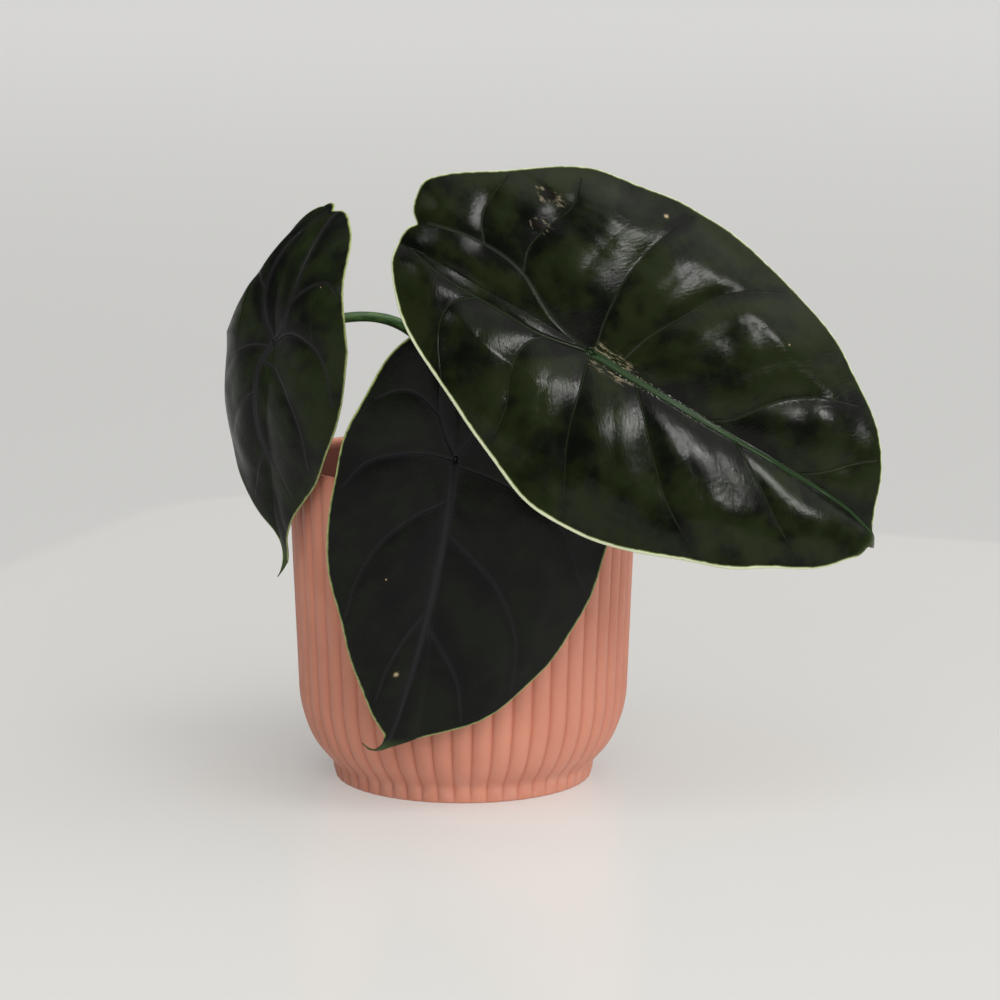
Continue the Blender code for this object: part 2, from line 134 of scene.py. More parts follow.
# ---- leaves: outlines and bends as in the CAD, in mm with the stalk joint at the origin, the
# notch towards +Y and the drip tip towards -Y. Veins run outwards from the joint. ----
LARGE = {
    "joint": (0.0485, -RIM_RADIUS - 0.026, COVER_HEIGHT + 0.057),
    "tip_direction": (0.84, -0.10, -0.485),
    "faces": (0.10, -0.93, 0.34),
    "right": [(1, 80), (4, 83.5), (10, 85), (18, 84), (33, 71), (50, 52), (63, 33), (70, 10),
              (72, -9), (70, -34), (63, -60), (52, -86), (38, -105), (22, -118), (9, -124),
              (2, -128), (0, -137)],
    "left": [(1, 80), (-3, 82.5), (-9, 82.5), (-18, 79.5), (-31, 67), (-40, 47), (-51, 22),
             (-61, -5), (-63, -25), (-58, -48), (-49, -72), (-38, -94), (-24, -113),
             (-12, -124), (-4, -127), (-2, -130), (0, -137)],
    "sweep": -3.0, "bow": 0.0, "top_sweep": 8.0, "tip_side": 0.0,
    "tip_bend": 16.0, "tip_hook": 210.0, "hook_from": 0.89, "top_bend": 10.0,
    "roll_right": 18.0, "roll_left": 12.0, "top_curl": 0.0,
    "dimple": 2.0, "valley": 3.0, "valley_width": 8.0,
    "midrib": [(0, 0), (-1, -22), (0, -57), (2, -88), (3, -115), (0, -136)],
    "costae": [[(0, 0), (3, 19), (11, 37), (11, 55), (4, 76)],
               [(0, 0), (-5, 19), (-6, 33), (-7, 46), (-9, 62), (-8, 78)]],
    "laterals": [
        [(1, -2), (14, 1), (30, 2), (49, -1), (68, -8)],
        [(0, -12), (14, -16), (30, -24), (46, -33), (60, -51)],
        [(1, -52), (7, -60), (21, -70), (31, -82), (38, -98)],
        [(2, -90), (9, -99), (18, -107), (24, -114)],
        [(11, 36), (20, 39), (31, 37), (44, 33), (56, 36)],
        [(11, 54), (19, 60), (28, 61), (38, 60)],
        [(-4, 17), (-13, 22), (-24, 21), (-36, 16), (-49, 14)],
        [(-7, 46), (-15, 53), (-24, 53), (-33, 48), (-41, 42)],
        [(-1, -1), (-14, -4), (-27, -7), (-40, -12), (-58, -22)],
        [(-1, -20), (-12, -30), (-25, -42), (-37, -56), (-46, -74)],
        [(0, -64), (-9, -79), (-18, -93), (-26, -108)],
    ],
    "minors": [(0, 1, .5), (1, 2, .33), (1, 2, .66), (2, 3, .5), (0, 4, .4), (0, 4, .7),
               (4, 5, .5), (6, 7, .5), (6, 8, .5), (8, 9, .5), (9, 10, .35), (9, 10, .68)],
    "quilting": 8.0, "ridge": 0.9, "seed": 11,
}
FRONT = {
    "joint": (-0.002, -RIM_RADIUS - 0.018, COVER_HEIGHT + 0.015),
    "tip_direction": (-0.13, 0.12, -0.99),
    "faces": (0.10, -0.98, -0.06),
    "right": [(1, 46), (7, 52), (18, 52), (34, 44), (50, 27), (61, 4), (65, -20), (63, -43),
              (56, -68), (45, -89), (30, -104), (14, -112), (4, -116), (1.5, -118), (0, -123)],
    "left": [(1, 46), (-7, 53), (-17, 49), (-29, 38), (-38, 19), (-44, 0), (-45, -24),
             (-42, -47), (-32, -68), (-22, -88), (-12, -101), (-4, -110), (-1.5, -115),
             (-1, -118), (0, -123)],
    "sweep": -13.0, "bow": 0.0, "top_sweep": 0.0, "tip_side": -8.0,
    "tip_bend": 8.0, "tip_hook": 120.0, "hook_from": 0.91, "top_bend": 10.0,
    "roll_right": 14.0, "roll_left": 24.0, "top_curl": 0.0,
    "dimple": 2.0, "valley": 2.0, "valley_width": 7.0,
    "midrib": [(0, 0), (0, -16), (0, -56), (0, -81), (0, -102), (0, -122)],
    "costae": [[(0, 0), (5, 9), (9, 19), (9, 32), (4, 47)],
               [(0, 0), (-5, 9), (-9, 20), (-9, 34), (-4, 47)]],
    "laterals": [
        [(0, -3), (14, -6), (30, -13), (45, -25), (57, -46)],
        [(1, -30), (12, -38), (25, -50), (36, -69), (40, -90)],
        [(0, -66), (9, -76), (18, -88), (24, -103)],
        [(7, 14), (20, 18), (34, 18), (48, 12)],
        [(0, -1), (-12, 1), (-25, -1), (-35, -6), (-42, -16)],
        [(-1, -17), (-13, -24), (-24, -36), (-30, -52), (-31, -66)],
        [(0, -60), (-6, -72), (-10, -86), (-11, -98)],
        [(-8, 16), (-17, 23), (-25, 24), (-33, 20)],
    ],
    "minors": [(0, 1, .5), (1, 2, .5), (0, 3, .5), (4, 5, .5), (5, 6, .5), (4, 7, .5)],
    "quilting": 5.0, "ridge": 0.25, "seed": 23,
}
LEFT = {
    "joint": (-RIM_RADIUS - 0.0035, -0.030, COVER_HEIGHT + 0.051),
    "tip_direction": (-0.02, -0.02, -1.0),
    "faces": (-0.72, -0.68, 0.08),
    "right": [(0, 54), (5, 55), (11, 52), (21, 43), (32, 28), (39, 10), (42, -10), (42, -24),
              (39, -36), (30, -51), (18, -63), (8, -72), (3, -78), (1.5, -86), (0, -96)],
    "left": [(0, 54), (-5, 57.5), (-11, 56), (-21, 44), (-32, 28), (-39, 10), (-41, -10),
             (-38, -24), (-33, -37), (-24, -52), (-13, -63), (-5, -72), (-2.5, -78),
             (-1.5, -86), (0, -96)],
    "sweep": 9.0, "bow": -6.0, "top_sweep": 9.0, "tip_side": -14.0,
    "tip_bend": 22.0, "tip_hook": -20.0, "hook_from": 0.75, "top_bend": 50.0,
    "roll_right": 34.0, "roll_left": 60.0, "top_curl": 1.5,
    "dimple": 3.0, "valley": 2.0, "valley_width": 6.0,
    "midrib": [(0, 0), (-4, -10), (-3, -21), (0, -36), (5, -52), (4, -76), (0, -95)],
    "costae": [[(0, 0), (7, 8), (10, 22), (8, 38), (3, 54)],
               [(0, 0), (-5, 9), (-8, 22), (-7, 38), (-3, 54)]],
    "laterals": [
        [(1, 0), (12, 4), (25, 1), (34, -8), (39, -22)],
        [(-3, -8), (8, -12), (19, -23), (26, -36), (26, -48)],
        [(2, -42), (9, -50), (14, -60)],
        [(9, 15), (17, 22), (25, 25), (31, 22)],
        [(-1, -2), (-12, -3), (-24, -9), (-35, -20)],
        [(-3, -20), (-11, -25), (-20, -34), (-25, -45)],
        [(1, -44), (-4, -52), (-8, -61)],
        [(-7, 18), (-15, 24), (-23, 26), (-30, 20)],
    ],
    "minors": [(0, 1, .5), (1, 2, .5), (0, 3, .5), (4, 5, .5), (5, 6, .5), (4, 7, .5)],
    "quilting": 5.6, "ridge": 0.2, "seed": 37,
}
BLADE_THICKNESS = 0.8            # mm
MARGIN_THICKNESS = 0.55
ROLL_AT = 60.0                   # mm from the midrib where a blade's roll reaches its angle
DIMPLE_WIDTH = 16.0
COARSE_LUMPS = 34.0              # mm across
COARSE_SHARE = 0.07
FINE_LUMPS = 13.0
FINE_SHARE = 0.012
OUTLINE_SHARE = 0.006
MARGIN_WAVE = 0.9                # mm, the margin's slow wave
WAVE_LENGTH = 42.0
SPOKES_PER_HALF = 220
BLADE_RINGS = 96
TIP_FROM = 0.91                  # share of the way to the tip where the drip tip starts
# Veins by rank: half width at start and at end (mm), depth of the crease, its spread (mm).
MIDRIB = (1.5, 0.45, 0.90, 9.0)
COSTA = (1.2, 0.6, 0.86, 7.0)
LATERAL = (0.7, 0.35, 0.78, 11.0)
MINOR = (0.4, 0.2, 0.20, 6.0)
MINOR_VEIN = 0.3                 # veins shallower than this leave no line on the skin
FAR_OFF = 20.0                   # vein measures stop here
NOWHERE = 1e9
BLADES = {"leaf_blade_large": LARGE, "leaf_blade_front": FRONT, "leaf_blade_left": LEFT}

# Each stalk leaves the crown at "base", rises along "rise" and meets the back of its blade
# along "approach". Radii run from crown to blade.
STALKS = {
    "petiole_large": {"blade": LARGE, "base": (0.0065, 0.001), "rise": (0.004, 0.010, 0.075),
                      "approach": (-0.006, 0.048, -0.020), "radii": (0.0042, 0.0027)},
    "petiole_front": {"blade": FRONT, "base": (-0.002, -0.0065), "rise": (0.0, -0.010, 0.066),
                      "approach": (-0.0035, 0.034, 0.008), "radii": (0.0036, 0.0023)},
    "petiole_left": {"blade": LEFT, "base": (-0.0055, 0.0045), "rise": (0.010, 0.004, 0.078),
                     "approach": (0.045, 0.032, 0.019), "radii": (0.0034, 0.0020)},
}


# ======== camera, lights and studio ========

def build_camera():
    data = bpy.data.cameras.new("camera")
    data.lens = CAMERA_LENS
    data.sensor_width = CAMERA_SENSOR
    camera = bpy.data.objects.new("camera", data)
    camera.location = CAMERA_PLACE
    camera.rotation_euler = (math.radians(CAMERA_TILT), 0.0, 0.0)
    bpy.context.scene.collection.objects.link(camera)
    bpy.context.scene.camera = camera


def build_lamps():
    """Rectangular lamps aimed at the plant."""
    for name, azimuth, elevation, distance, size, watts, colour, makes in LAMPS:
        data = bpy.data.lights.new(name, "AREA")
        data.shape = "RECTANGLE"
        data.size, data.size_y = size
        data.energy = watts
        data.color = colour
        lamp = bpy.data.objects.new(name, data)
        side, up = math.radians(azimuth), math.radians(elevation)
        away = Vector((math.sin(side) * math.cos(up), -math.cos(side) * math.cos(up), math.sin(up)))
        lamp.location = Vector(LIGHT_TARGET) + away * distance
        lamp.rotation_euler = (-away).to_track_quat("-Z", "Y").to_euler()
        lamp.visible_diffuse = makes == "soft"
        lamp.visible_glossy = makes == "gloss"
        bpy.context.scene.collection.objects.link(lamp)


# ======== materials ========

COLOUR_INPUTS = (6, 7)           # the mix node's two colours among its sockets
COLOUR_OUTPUT = 2


class Graph:
    """Shader nodes under construction. Each call adds a node and hands back its output."""

    def __init__(self, tree):
        self.tree = tree

    def node(self, kind, *values, output=0, **settings):
        made = self.tree.nodes.new(kind)
        for key, setting in settings.items():
            setattr(made, key, setting)
        for socket, value in zip(made.inputs, values):
            self.feed(socket, value)
        return made.outputs[output]

    def feed(self, socket, value):
        if isinstance(value, bpy.types.NodeSocket):
            self.tree.links.new(value, socket)
        elif value is not None:
            socket.default_value = value

    def math(self, operation, a, b=0.0):
        return self.node("ShaderNodeMath", a, b, operation=operation)

    def times(self, product, *others):
        for other in others:
            product = self.math("MULTIPLY", product, other)
        return product

    def plus(self, a, b):
        return self.math("ADD", a, b)

    def minus(self, a, b):
        return self.math("SUBTRACT", a, b)

    def vector(self, operation, a, b=(0.0, 0.0, 0.0), output=0):
        return self.node("ShaderNodeVectorMath", a, b, operation=operation, output=output)

    def attribute(self, name, output="Fac"):
        return self.node("ShaderNodeAttribute", attribute_name=name, output=output)

    def place(self):
        return self.node("ShaderNodeTexCoord", output="Object")

    def scaled(self, vector, factors):
        return self.vector("MULTIPLY", vector, factors)

    def named(self, kind, output=0, **inputs):
        """A node whose inputs are given by name."""
        made = self.tree.nodes.new(kind)
        for key, value in inputs.items():
            self.feed(made.inputs[key], value)
        return made.outputs[output]

    def noise(self, vector, scale, detail=3.0, roughness=0.5, output=0):
        return self.named("ShaderNodeTexNoise", output, Vector=vector, Scale=scale,
                          Detail=detail, Roughness=roughness)

    def cells(self, vector, scale):
        return self.named("ShaderNodeTexVoronoi", Vector=vector, Scale=scale)

    def span(self, value, low, high, to_low=0.0, to_high=1.0):
        """Smooth step from to_low at low to to_high at high; low may exceed high."""
        if low > high:
            low, high, to_low, to_high = high, low, to_high, to_low
        return self.node("ShaderNodeMapRange", value, low, high, to_low, to_high,
                         interpolation_type="SMOOTHSTEP")

    def mix(self, factor, a, b):
        """Blend two colours, each a socket or a plain (r, g, b)."""
        made = self.tree.nodes.new("ShaderNodeMix")
        made.data_type = "RGBA"
        self.feed(made.inputs["Factor"], factor)
        for socket, value in zip(COLOUR_INPUTS, (a, b)):
            self.feed(made.inputs[socket], (*value, 1.0) if isinstance(value, tuple) else value)
        return made.outputs[COLOUR_OUTPUT]

    def bump(self, height, strength, depth, normal=None):
        return self.named("ShaderNodeBump", Height=height, Strength=strength, Distance=depth,
                          Normal=normal)


class Shade(Graph):
    """A material on one Principled shader."""

    def __init__(self, name):
        self.mat = bpy.data.materials.new(name)
        self.mat.use_nodes = True
        super().__init__(self.mat.node_tree)
        self.shader = self.tree.nodes["Principled BSDF"]

    def finish(self, colour, roughness, normal=None, **constants):
        self.feed(self.shader.inputs["Base Color"],
                  (*colour, 1.0) if isinstance(colour, tuple) else colour)
        self.feed(self.shader.inputs["Roughness"], roughness)
        if normal is not None:
            self.feed(self.shader.inputs["Normal"], normal)
        for key, value in constants.items():
            self.shader.inputs[key.replace("_", " ")].default_value = value
        return self.mat


def salmon_plastic():
    s = Shade("salmon_plastic")
    place = s.place()
    cloud = s.noise(place, 34.0, 3.0)
    colour = s.mix(s.span(cloud, 0.35, 0.65), (0.60, 0.235, 0.155), (0.645, 0.262, 0.176))
    # A little pale dust low on the wall; painted shade darkens the grooves and the inside below the
    # rim.
    height = s.node("ShaderNodeSeparateXYZ", place, output=2)
    dust = s.times(s.span(height, 0.022, 0.002), s.span(s.noise(place, 120.0, 4.0), 0.42, 0.68))
    colour = s.mix(s.times(dust, 0.30), colour, (0.66, 0.40, 0.32))
    colour = s.mix(s.times(s.attribute("groove_shade"), 0.45), colour, (0.40, 0.115, 0.075))
    colour = s.mix(s.times(s.attribute("inside_shade"), 0.9), colour, (0.100, 0.026, 0.019))
    drawn = s.noise(s.scaled(place, (1.0, 1.0, 0.05)), 900.0, 2.0)
    grain = s.noise(place, 1900.0, 3.0, 0.6)
    roughness = s.span(s.noise(place, 60.0, 4.0), 0.3, 0.7, 0.43, 0.55)
    normal = s.bump(drawn, 0.10, 0.0002)
    normal = s.bump(grain, 0.22, 0.00012, normal)
    return s.finish(colour, roughness, normal, Specular_IOR_Level=0.42)


def black_plastic():
    s = Shade("black_plastic")
    place = s.place()
    scuff = s.span(s.noise(s.scaled(place, (1.0, 1.0, 0.25)), 260.0, 4.0, 0.6), 0.55, 0.72)
    colour = s.mix(scuff, (0.012, 0.012, 0.013), (0.034, 0.032, 0.030))
    soil = s.times(s.span(s.noise(place, 420.0, 3.0), 0.56, 0.66),
                  s.span(s.noise(place, 55.0, 2.0), 0.5, 0.62))
    colour = s.mix(soil, colour, (0.075, 0.048, 0.030))
    roughness = s.span(scuff, 0.0, 1.0, 0.38, 0.62)
    normal = s.bump(s.noise(place, 1500.0, 3.0), 0.25, 0.00015)
    return s.finish(colour, roughness, normal)


def mix_material():
    s = Shade("potting_mix")
    place = s.place()
    fibres = s.noise(place, 300.0, 6.0, 0.7)
    clods = s.noise(place, 70.0, 4.0, 0.6)
    colour = s.mix(s.span(fibres, 0.35, 0.68), (0.013, 0.008, 0.005), (0.075, 0.043, 0.025))
    colour = s.mix(s.times(s.span(clods, 0.5, 0.72), 0.7), colour, (0.038, 0.021, 0.012))
    specks = s.span(s.cells(place, 620.0), 0.16, 0.10)
    picked = s.span(s.noise(place, 500.0, 1.0), 0.60, 0.64)
    colour = s.mix(s.times(specks, picked), colour, (0.35, 0.29, 0.21))
    normal = s.bump(s.noise(place, 240.0, 8.0, 0.75), 0.9, 0.0022)
    return s.finish(colour, s.span(clods, 0.3, 0.7, 0.78, 0.97), normal, Specular_IOR_Level=0.3)


def crumb_material(name, dark, light, rough):
    s = Shade(name)
    place = s.place()
    own = s.attribute("tone")
    grain = s.noise(s.scaled(place, (1.0, 0.4, 1.0)), 700.0, 4.0, 0.65)
    colour = s.mix(s.times(own, 0.8), dark, light)
    colour = s.mix(s.span(grain, 0.35, 0.7), colour, light)
    colour = s.mix(s.span(own, 0.0, 0.5, 0.75, 0.0), colour, dark)
    normal = s.bump(grain, 0.6, 0.0005)
    return s.finish(colour, s.span(grain, 0.3, 0.7, rough - 0.12, rough), normal)


def crown_material():
    s = Shade("crown_tissue")
    place = s.place()
    rings = s.noise(s.scaled(place, (0.35, 0.35, 1.6)), 420.0, 5.0, 0.6)
    patches = s.noise(place, 130.0, 3.0)
    colour = s.mix(s.span(rings, 0.38, 0.62), (0.045, 0.024, 0.011), (0.16, 0.098, 0.045))
    colour = s.mix(s.span(patches, 0.5, 0.7), colour, (0.075, 0.085, 0.028))
    normal = s.bump(rings, 0.7, 0.0009)
    return s.finish(colour, s.span(patches, 0.3, 0.7, 0.85, 0.6), normal)


def stalk_material():
    """Fleshy green skin, mottled, with pale lenticels and a red-brown flush at the foot."""
    s = Shade("stalk")
    skin = s.attribute("skin", "Vector")
    along = s.attribute("along")
    mottle = s.noise(s.scaled(skin, (1.0, 1.0, 0.35)), 0.42, 4.0, 0.6)
    colour = s.mix(s.span(mottle, 0.36, 0.64), (0.022, 0.058, 0.016), (0.062, 0.145, 0.036))
    stripes = s.span(s.noise(s.scaled(skin, (1.0, 1.0, 0.06)), 1.6, 3.0), 0.52, 0.66)
    colour = s.mix(s.times(stripes, 0.35), colour, (0.105, 0.18, 0.06))
    dots = s.span(s.cells(s.scaled(skin, (1.0, 1.0, 0.5)), 1.1), 0.17, 0.09)
    colour = s.mix(s.times(dots, 0.5), colour, (0.19, 0.22, 0.12))
    foot = s.span(along, 26.0, 4.0)
    colour = s.mix(s.times(foot, 0.75), colour, (0.095, 0.045, 0.022))
    normal = s.bump(s.noise(s.scaled(skin, (1.0, 1.0, 0.15)), 3.0, 3.0), 0.30, 0.0003)
    roughness = s.span(mottle, 0.3, 0.7, 0.33, 0.46)
    return s.finish(colour, roughness, normal, Specular_IOR_Level=0.5)


def blemishes(s, upper, look, flat, rib, y_run):
    """Feathery tan scars beside the start of the midrib, fine pale nicks further on, torn
    hollows with a dark core, and small dry spots."""
    strokes = s.span(s.noise(s.scaled(flat, (1.0, 0.22, 1.0)), 0.75, 4.0, 0.7), 0.51, 0.62)
    beside = s.times(s.span(rib, 4.2, 2.0), s.span(rib, 0.9, 1.3))
    start = s.times(s.span(y_run, -26.0, -9.0), s.span(y_run, 0.0, -3.0))
    scar = s.times(strokes, beside, start)
    upper = s.mix(s.times(scar, look["scuff"]), upper, look["scar"])
    dashes = s.span(s.noise(s.scaled(flat, (1.0, 0.45, 1.0)), 1.9, 3.0, 0.6), 0.57, 0.63)
    flank = s.times(s.span(rib, 1.6, 1.3), s.span(rib, 0.9, 1.15))
    run = s.times(s.span(y_run, -66.0, -30.0), s.span(y_run, -4.0, -18.0))
    nick = s.times(dashes, flank, run)
    upper = s.mix(s.times(nick, look["scuff"]), upper, look["nick"])
    for x, y, size in look["hollows"]:
        wobble = s.vector("SCALE", s.noise(flat, 0.30, 3.0, 0.6, output=1))
        wobble.node.inputs["Scale"].default_value = size * 1.5
        shift = size * 0.75
        slanted = s.vector("ADD", s.scaled(flat, (1.45, 0.85, 1.0)), wobble)
        middle = (1.45 * x + shift, 0.85 * y + shift, shift)
        far = s.vector("DISTANCE", slanted, middle, 1)
        torn = s.span(s.noise(s.scaled(flat, (1.0, 0.4, 1.0)), 0.55, 3.0, 0.6), 0.50, 0.62)
        ring = s.times(s.span(far, size * 1.2, size * 0.85), torn)
        upper = s.mix(s.times(ring, 0.7), upper, look["torn"])
        upper = s.mix(s.span(far, size * 0.9, size * 0.45), upper, look["pit"])
    for x, y, size in look["spots"]:
        wobble = s.vector("SCALE", s.noise(flat, 0.7, 3.0, 0.7, output=1))
        wobble.node.inputs["Scale"].default_value = size * 1.2
        shift = size * 0.6
        far = s.vector("DISTANCE", s.vector("ADD", flat, wobble), (x + shift, y + shift, shift), 1)
        upper = s.mix(s.span(far, size * 1.15, size * 0.75), upper, look["spot_edge"])
        upper = s.mix(s.span(far, size * 0.8, size * 0.35), upper, look["spot"])
    return upper


def leaf_normal(s, look, flat, vein, near, x_side, y_run):
    """Swells, pores and sunken veins, with fine wrinkles that run outwards with the side
    veins, mirrored across the midrib."""
    side = s.math("ABSOLUTE", x_side)
    out_run = s.minus(s.times(side, 0.80), s.times(y_run, 0.60))
    cross_run = s.plus(s.times(side, 0.60), s.times(y_run, 0.80))
    streaks = s.node("ShaderNodeCombineXYZ", s.times(out_run, 0.28), cross_run)
    wrinkles = s.noise(streaks, 1.1, 4.0, 0.62)
    swells = s.noise(flat, 0.16, 2.0)
    pores = s.noise(flat, 3.2, 2.0)
    sunk = s.plus(s.times(s.span(vein, 0.0, 1.1), s.span(near, 3.0, 2.0)), s.span(near, 2.0, 3.0))
    normal = s.bump(swells, 0.07, 0.0012)
    normal = s.bump(wrinkles, look["wrinkle"], 0.0004, normal)
    normal = s.bump(pores, 0.10, 0.0002, normal)
    return s.bump(sunk, look["sunk"], 0.0005, normal)


def leaf_material(name, look):
    """The upper side is near-black green with olive mottling and sunken veins; the margin is
    pale and the under side wine red with raised paler veins."""
    s = Shade(name)
    flat = s.attribute("flat", "Vector")
    vein = s.math("ABSOLUTE", s.attribute("vein_across"))
    near = s.attribute("vein_near")
    rib = s.math("ABSOLUTE", s.attribute("rib_across"))
    margin = s.attribute("margin")
    under = s.span(s.attribute("under"), 0.3, 0.7)
    reach = look["vein_reach"]
    on_vein = s.times(s.span(vein, 1.15 * reach, 0.15 * reach),
                      s.span(near, reach + 1.6, reach + 0.6))
    on_rib = s.span(rib, 1.15, 0.75)

    # Upper side.
    patches = s.noise(flat, look["patch_scale"], 3.0, 0.55)
    small = s.noise(flat, look["patch_scale"] * 3.7, 4.0, 0.6)
    blend = s.plus(s.times(patches, 0.75), s.times(small, 0.25))
    blend = s.plus(blend, s.times(s.span(near, 1.0, 14.0), 0.07))
    upper = s.mix(s.span(blend, *look["patch_range"]), look["dark"], look["patch"])
    upper = s.mix(s.times(on_vein, look["vein_tint"]), upper, look["vein"])
    parts = s.node("ShaderNodeSeparateXYZ", flat).node
    x_side, y_run = parts.outputs[0], parts.outputs[1]
    below_joint = s.span(y_run, 6.0, -2.0)
    upper = s.mix(s.times(on_rib, s.times(below_joint, 0.9)), upper, look["rib"])
    upper = blemishes(s, upper, look, flat, rib, y_run)
    upper = s.mix(s.span(y_run, *look["tip"]), upper, look["tip_green"])

    # Under side.
    wine = s.mix(s.span(patches, 0.35, 0.65), look["wine"], look["wine_light"])
    greenish = s.span(small, 0.52, 0.70)
    wine = s.mix(s.times(greenish, 0.35), wine, look["back_green"])
    wine = s.mix(s.span(vein, 1.5, 0.5), wine, look["back_vein"])
    wine = s.mix(s.span(rib, 1.9, 1.2), wine, look["back_rib"])

    colour = s.mix(under, upper, wine)
    edge = s.minus(margin, s.span(s.noise(flat, 0.25, 2.0), 0.3, 0.7, 0.0, 0.25))
    edge = s.minus(edge, s.times(s.span(x_side, -16.0, -40.0), look["wide_margin"]))
    colour = s.mix(s.span(edge, look["margin_width"] + 0.35, look["margin_width"]), colour,
                   look["margin_green"])
    colour = s.mix(s.span(edge, look["cream_width"] + 0.12, look["cream_width"] - 0.1), colour,
                   look["margin_cream"])

    normal = leaf_normal(s, look, flat, vein, near, x_side, y_run)
    gloss = s.span(s.noise(flat, 0.11, 4.0, 0.6), 0.34, 0.66, look["rough"][0], look["rough"][1])
    roughness = s.plus(gloss, s.times(under, 0.22))
    return s.finish(colour, roughness, normal, Specular_IOR_Level=look["specular"])


LEAF_LOOK = {
    "dark": (0.0022, 0.0028, 0.0018), "patch": (0.0105, 0.0150, 0.0042),
    "patch_scale": 0.038, "patch_range": (0.42, 0.66),
    "vein": (0.018, 0.025, 0.012), "vein_tint": 0.5, "vein_reach": 1.0,
    "rib": (0.020, 0.042, 0.015), "scuff": 0.95, "tip": (-124.0, -133.0),
    "tip_green": (0.045, 0.075, 0.020),
    "margin_green": (0.13, 0.17, 0.055), "margin_cream": (0.52, 0.55, 0.38),
    "margin_width": 0.20, "cream_width": 0.02, "wide_margin": 0.0,
    "rough": (0.15, 0.22), "specular": 0.16, "wrinkle": 0.30, "sunk": 0.8,
    "scar": (0.24, 0.205, 0.13), "nick": (0.42, 0.43, 0.36), "torn": (0.20, 0.17, 0.115),
    "pit": (0.0060, 0.0048, 0.0030), "spot": (0.30, 0.245, 0.15), "spot_edge": (0.05, 0.034, 0.016),
    "wine": (0.085, 0.020, 0.024), "wine_light": (0.14, 0.038, 0.036),
    "back_green": (0.06, 0.065, 0.025), "back_vein": (0.17, 0.12, 0.06),
    "back_rib": (0.20, 0.22, 0.085),
    "spots": [], "hollows": [],      # each at flat x, y (mm), with its size
}
DARK_LOOK = {
    **LEAF_LOOK, "vein_reach": 2.2, "scuff": 0.0, "margin_cream": (0.34, 0.38, 0.16),
}
LOOKS = {
    "leaf_blade_large": {
        **LEAF_LOOK, "wide_margin": 0.60,
        "spots": [(62, 1, 1.2), (42, -63, 0.6)], "hollows": [(42, 43, 4.8), (30, 40, 3.8)],
    },
    "leaf_blade_front": {
        **DARK_LOOK, "dark": (0.0012, 0.0013, 0.0015), "patch": (0.0040, 0.0058, 0.0024),
        "vein": (0.0128, 0.0110, 0.0142), "vein_tint": 0.5,
        "rib": (0.0105, 0.0096, 0.0115), "tip": (-113.0, -119.0),
        "sunk": 0.25, "specular": 0.17, "rough": (0.24, 0.34), "wrinkle": 0.18,
        "spots": [(-6, -87, 1.3), (-19, -49, 0.5)],
    },
    "leaf_blade_left": {
        **DARK_LOOK, "dark": (0.0030, 0.0034, 0.0032), "patch": (0.0135, 0.0205, 0.0060),
        "vein": (0.0190, 0.0182, 0.0195), "vein_tint": 0.65,
        "rib": (0.0185, 0.0180, 0.0195), "tip": (-80.0, -87.0),
        "sunk": 0.3, "specular": 0.17, "rough": (0.28, 0.40), "wrinkle": 0.3,
        "spots": [(23, 23, 0.5)],
    },
}


# ======== shared mesh work ========

def make_piece(name, points, faces, mat, nodes, smooth_angle=None):
    """A finished piece that rides on the body and stands for its CAD node."""
    mesh = bpy.data.meshes.new(name)
    mesh.from_pydata(np.asarray(points).tolist(), [], faces)
    mesh.materials.append(mat)
    mesh.shade_smooth()
    if smooth_angle is not None:
        mesh.set_sharp_from_angle(angle=math.radians(smooth_angle))
    piece = bpy.data.objects.new(name, mesh)
    bpy.context.scene.collection.objects.link(piece)
    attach(piece, BODY)
    if nodes:
        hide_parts(*nodes)
    return piece


def store(piece, name, values):
    values = np.asarray(values, float)
    kind = "FLOAT_VECTOR" if values.ndim == 2 else "FLOAT"
    layer = piece.data.attributes.new(name, kind, "POINT")
    layer.data.foreach_set("vector" if values.ndim == 2 else "value", values.ravel())


def angles(steps):
    return np.arange(steps) / steps * math.tau


def circle(theta, radius, height, y=0.0):
    """Points at a radius round an upright line; the height may differ from point to point."""
    return np.stack([radius * np.cos(theta), y + radius * np.sin(theta),
                     np.zeros(len(theta)) + height], 1)


def band(first, second, around):
    """Quads from one closed ring of points to the next."""
    turns = [(i, (i + 1) % around) for i in range(around)]
    return [(first + i, first + j, second + j, second + i) for i, j in turns]


def ring_faces(rings, around, first=0):
    """Quads between successive closed rings of points."""
    starts = [first + ring * around for ring in range(rings)]
    return [quad for here in starts[:-1] for quad in band(here, here + around, around)]


def fan(centre, first, around):
    """Triangles from a centre point to a closed ring of points."""
    return [(centre, first + i, first + (i + 1) % around) for i in range(around)]


def turned_over(faces):
    return [face[::-1] for face in faces]


def catmull(points, per_piece=12):
    """A smooth curve through the points."""
    ends = np.array(points, float)
    ring = np.vstack([2 * ends[0] - ends[1], ends, 2 * ends[-1] - ends[-2]])
    t = np.linspace(0.0, 1.0, per_piece, endpoint=False)[:, None]
    pieces = []
    for a, b, c, d in zip(ring, ring[1:], ring[2:], ring[3:]):
        pieces.append(0.5 * (2 * b + (c - a) * t + (2 * a - 5 * b + 4 * c - d) * t ** 2
                             + (3 * b - a - 3 * c + d) * t ** 3))
    return np.vstack(pieces + [ends[-1:]])


def bezier(handles, t):
    a, b, c, d = handles
    return (1 - t) ** 3 * a + 3 * t * (1 - t) ** 2 * b + 3 * t * t * (1 - t) * c + t ** 3 * d


def read_along(curve, fractions):
    run = np.concatenate([[0.0], np.cumsum(np.linalg.norm(np.diff(curve, axis=0), axis=1))])
    at = np.asarray(fractions) * run[-1]
    return np.stack([np.interp(at, run, curve[:, k]) for k in range(curve.shape[1])], 1)


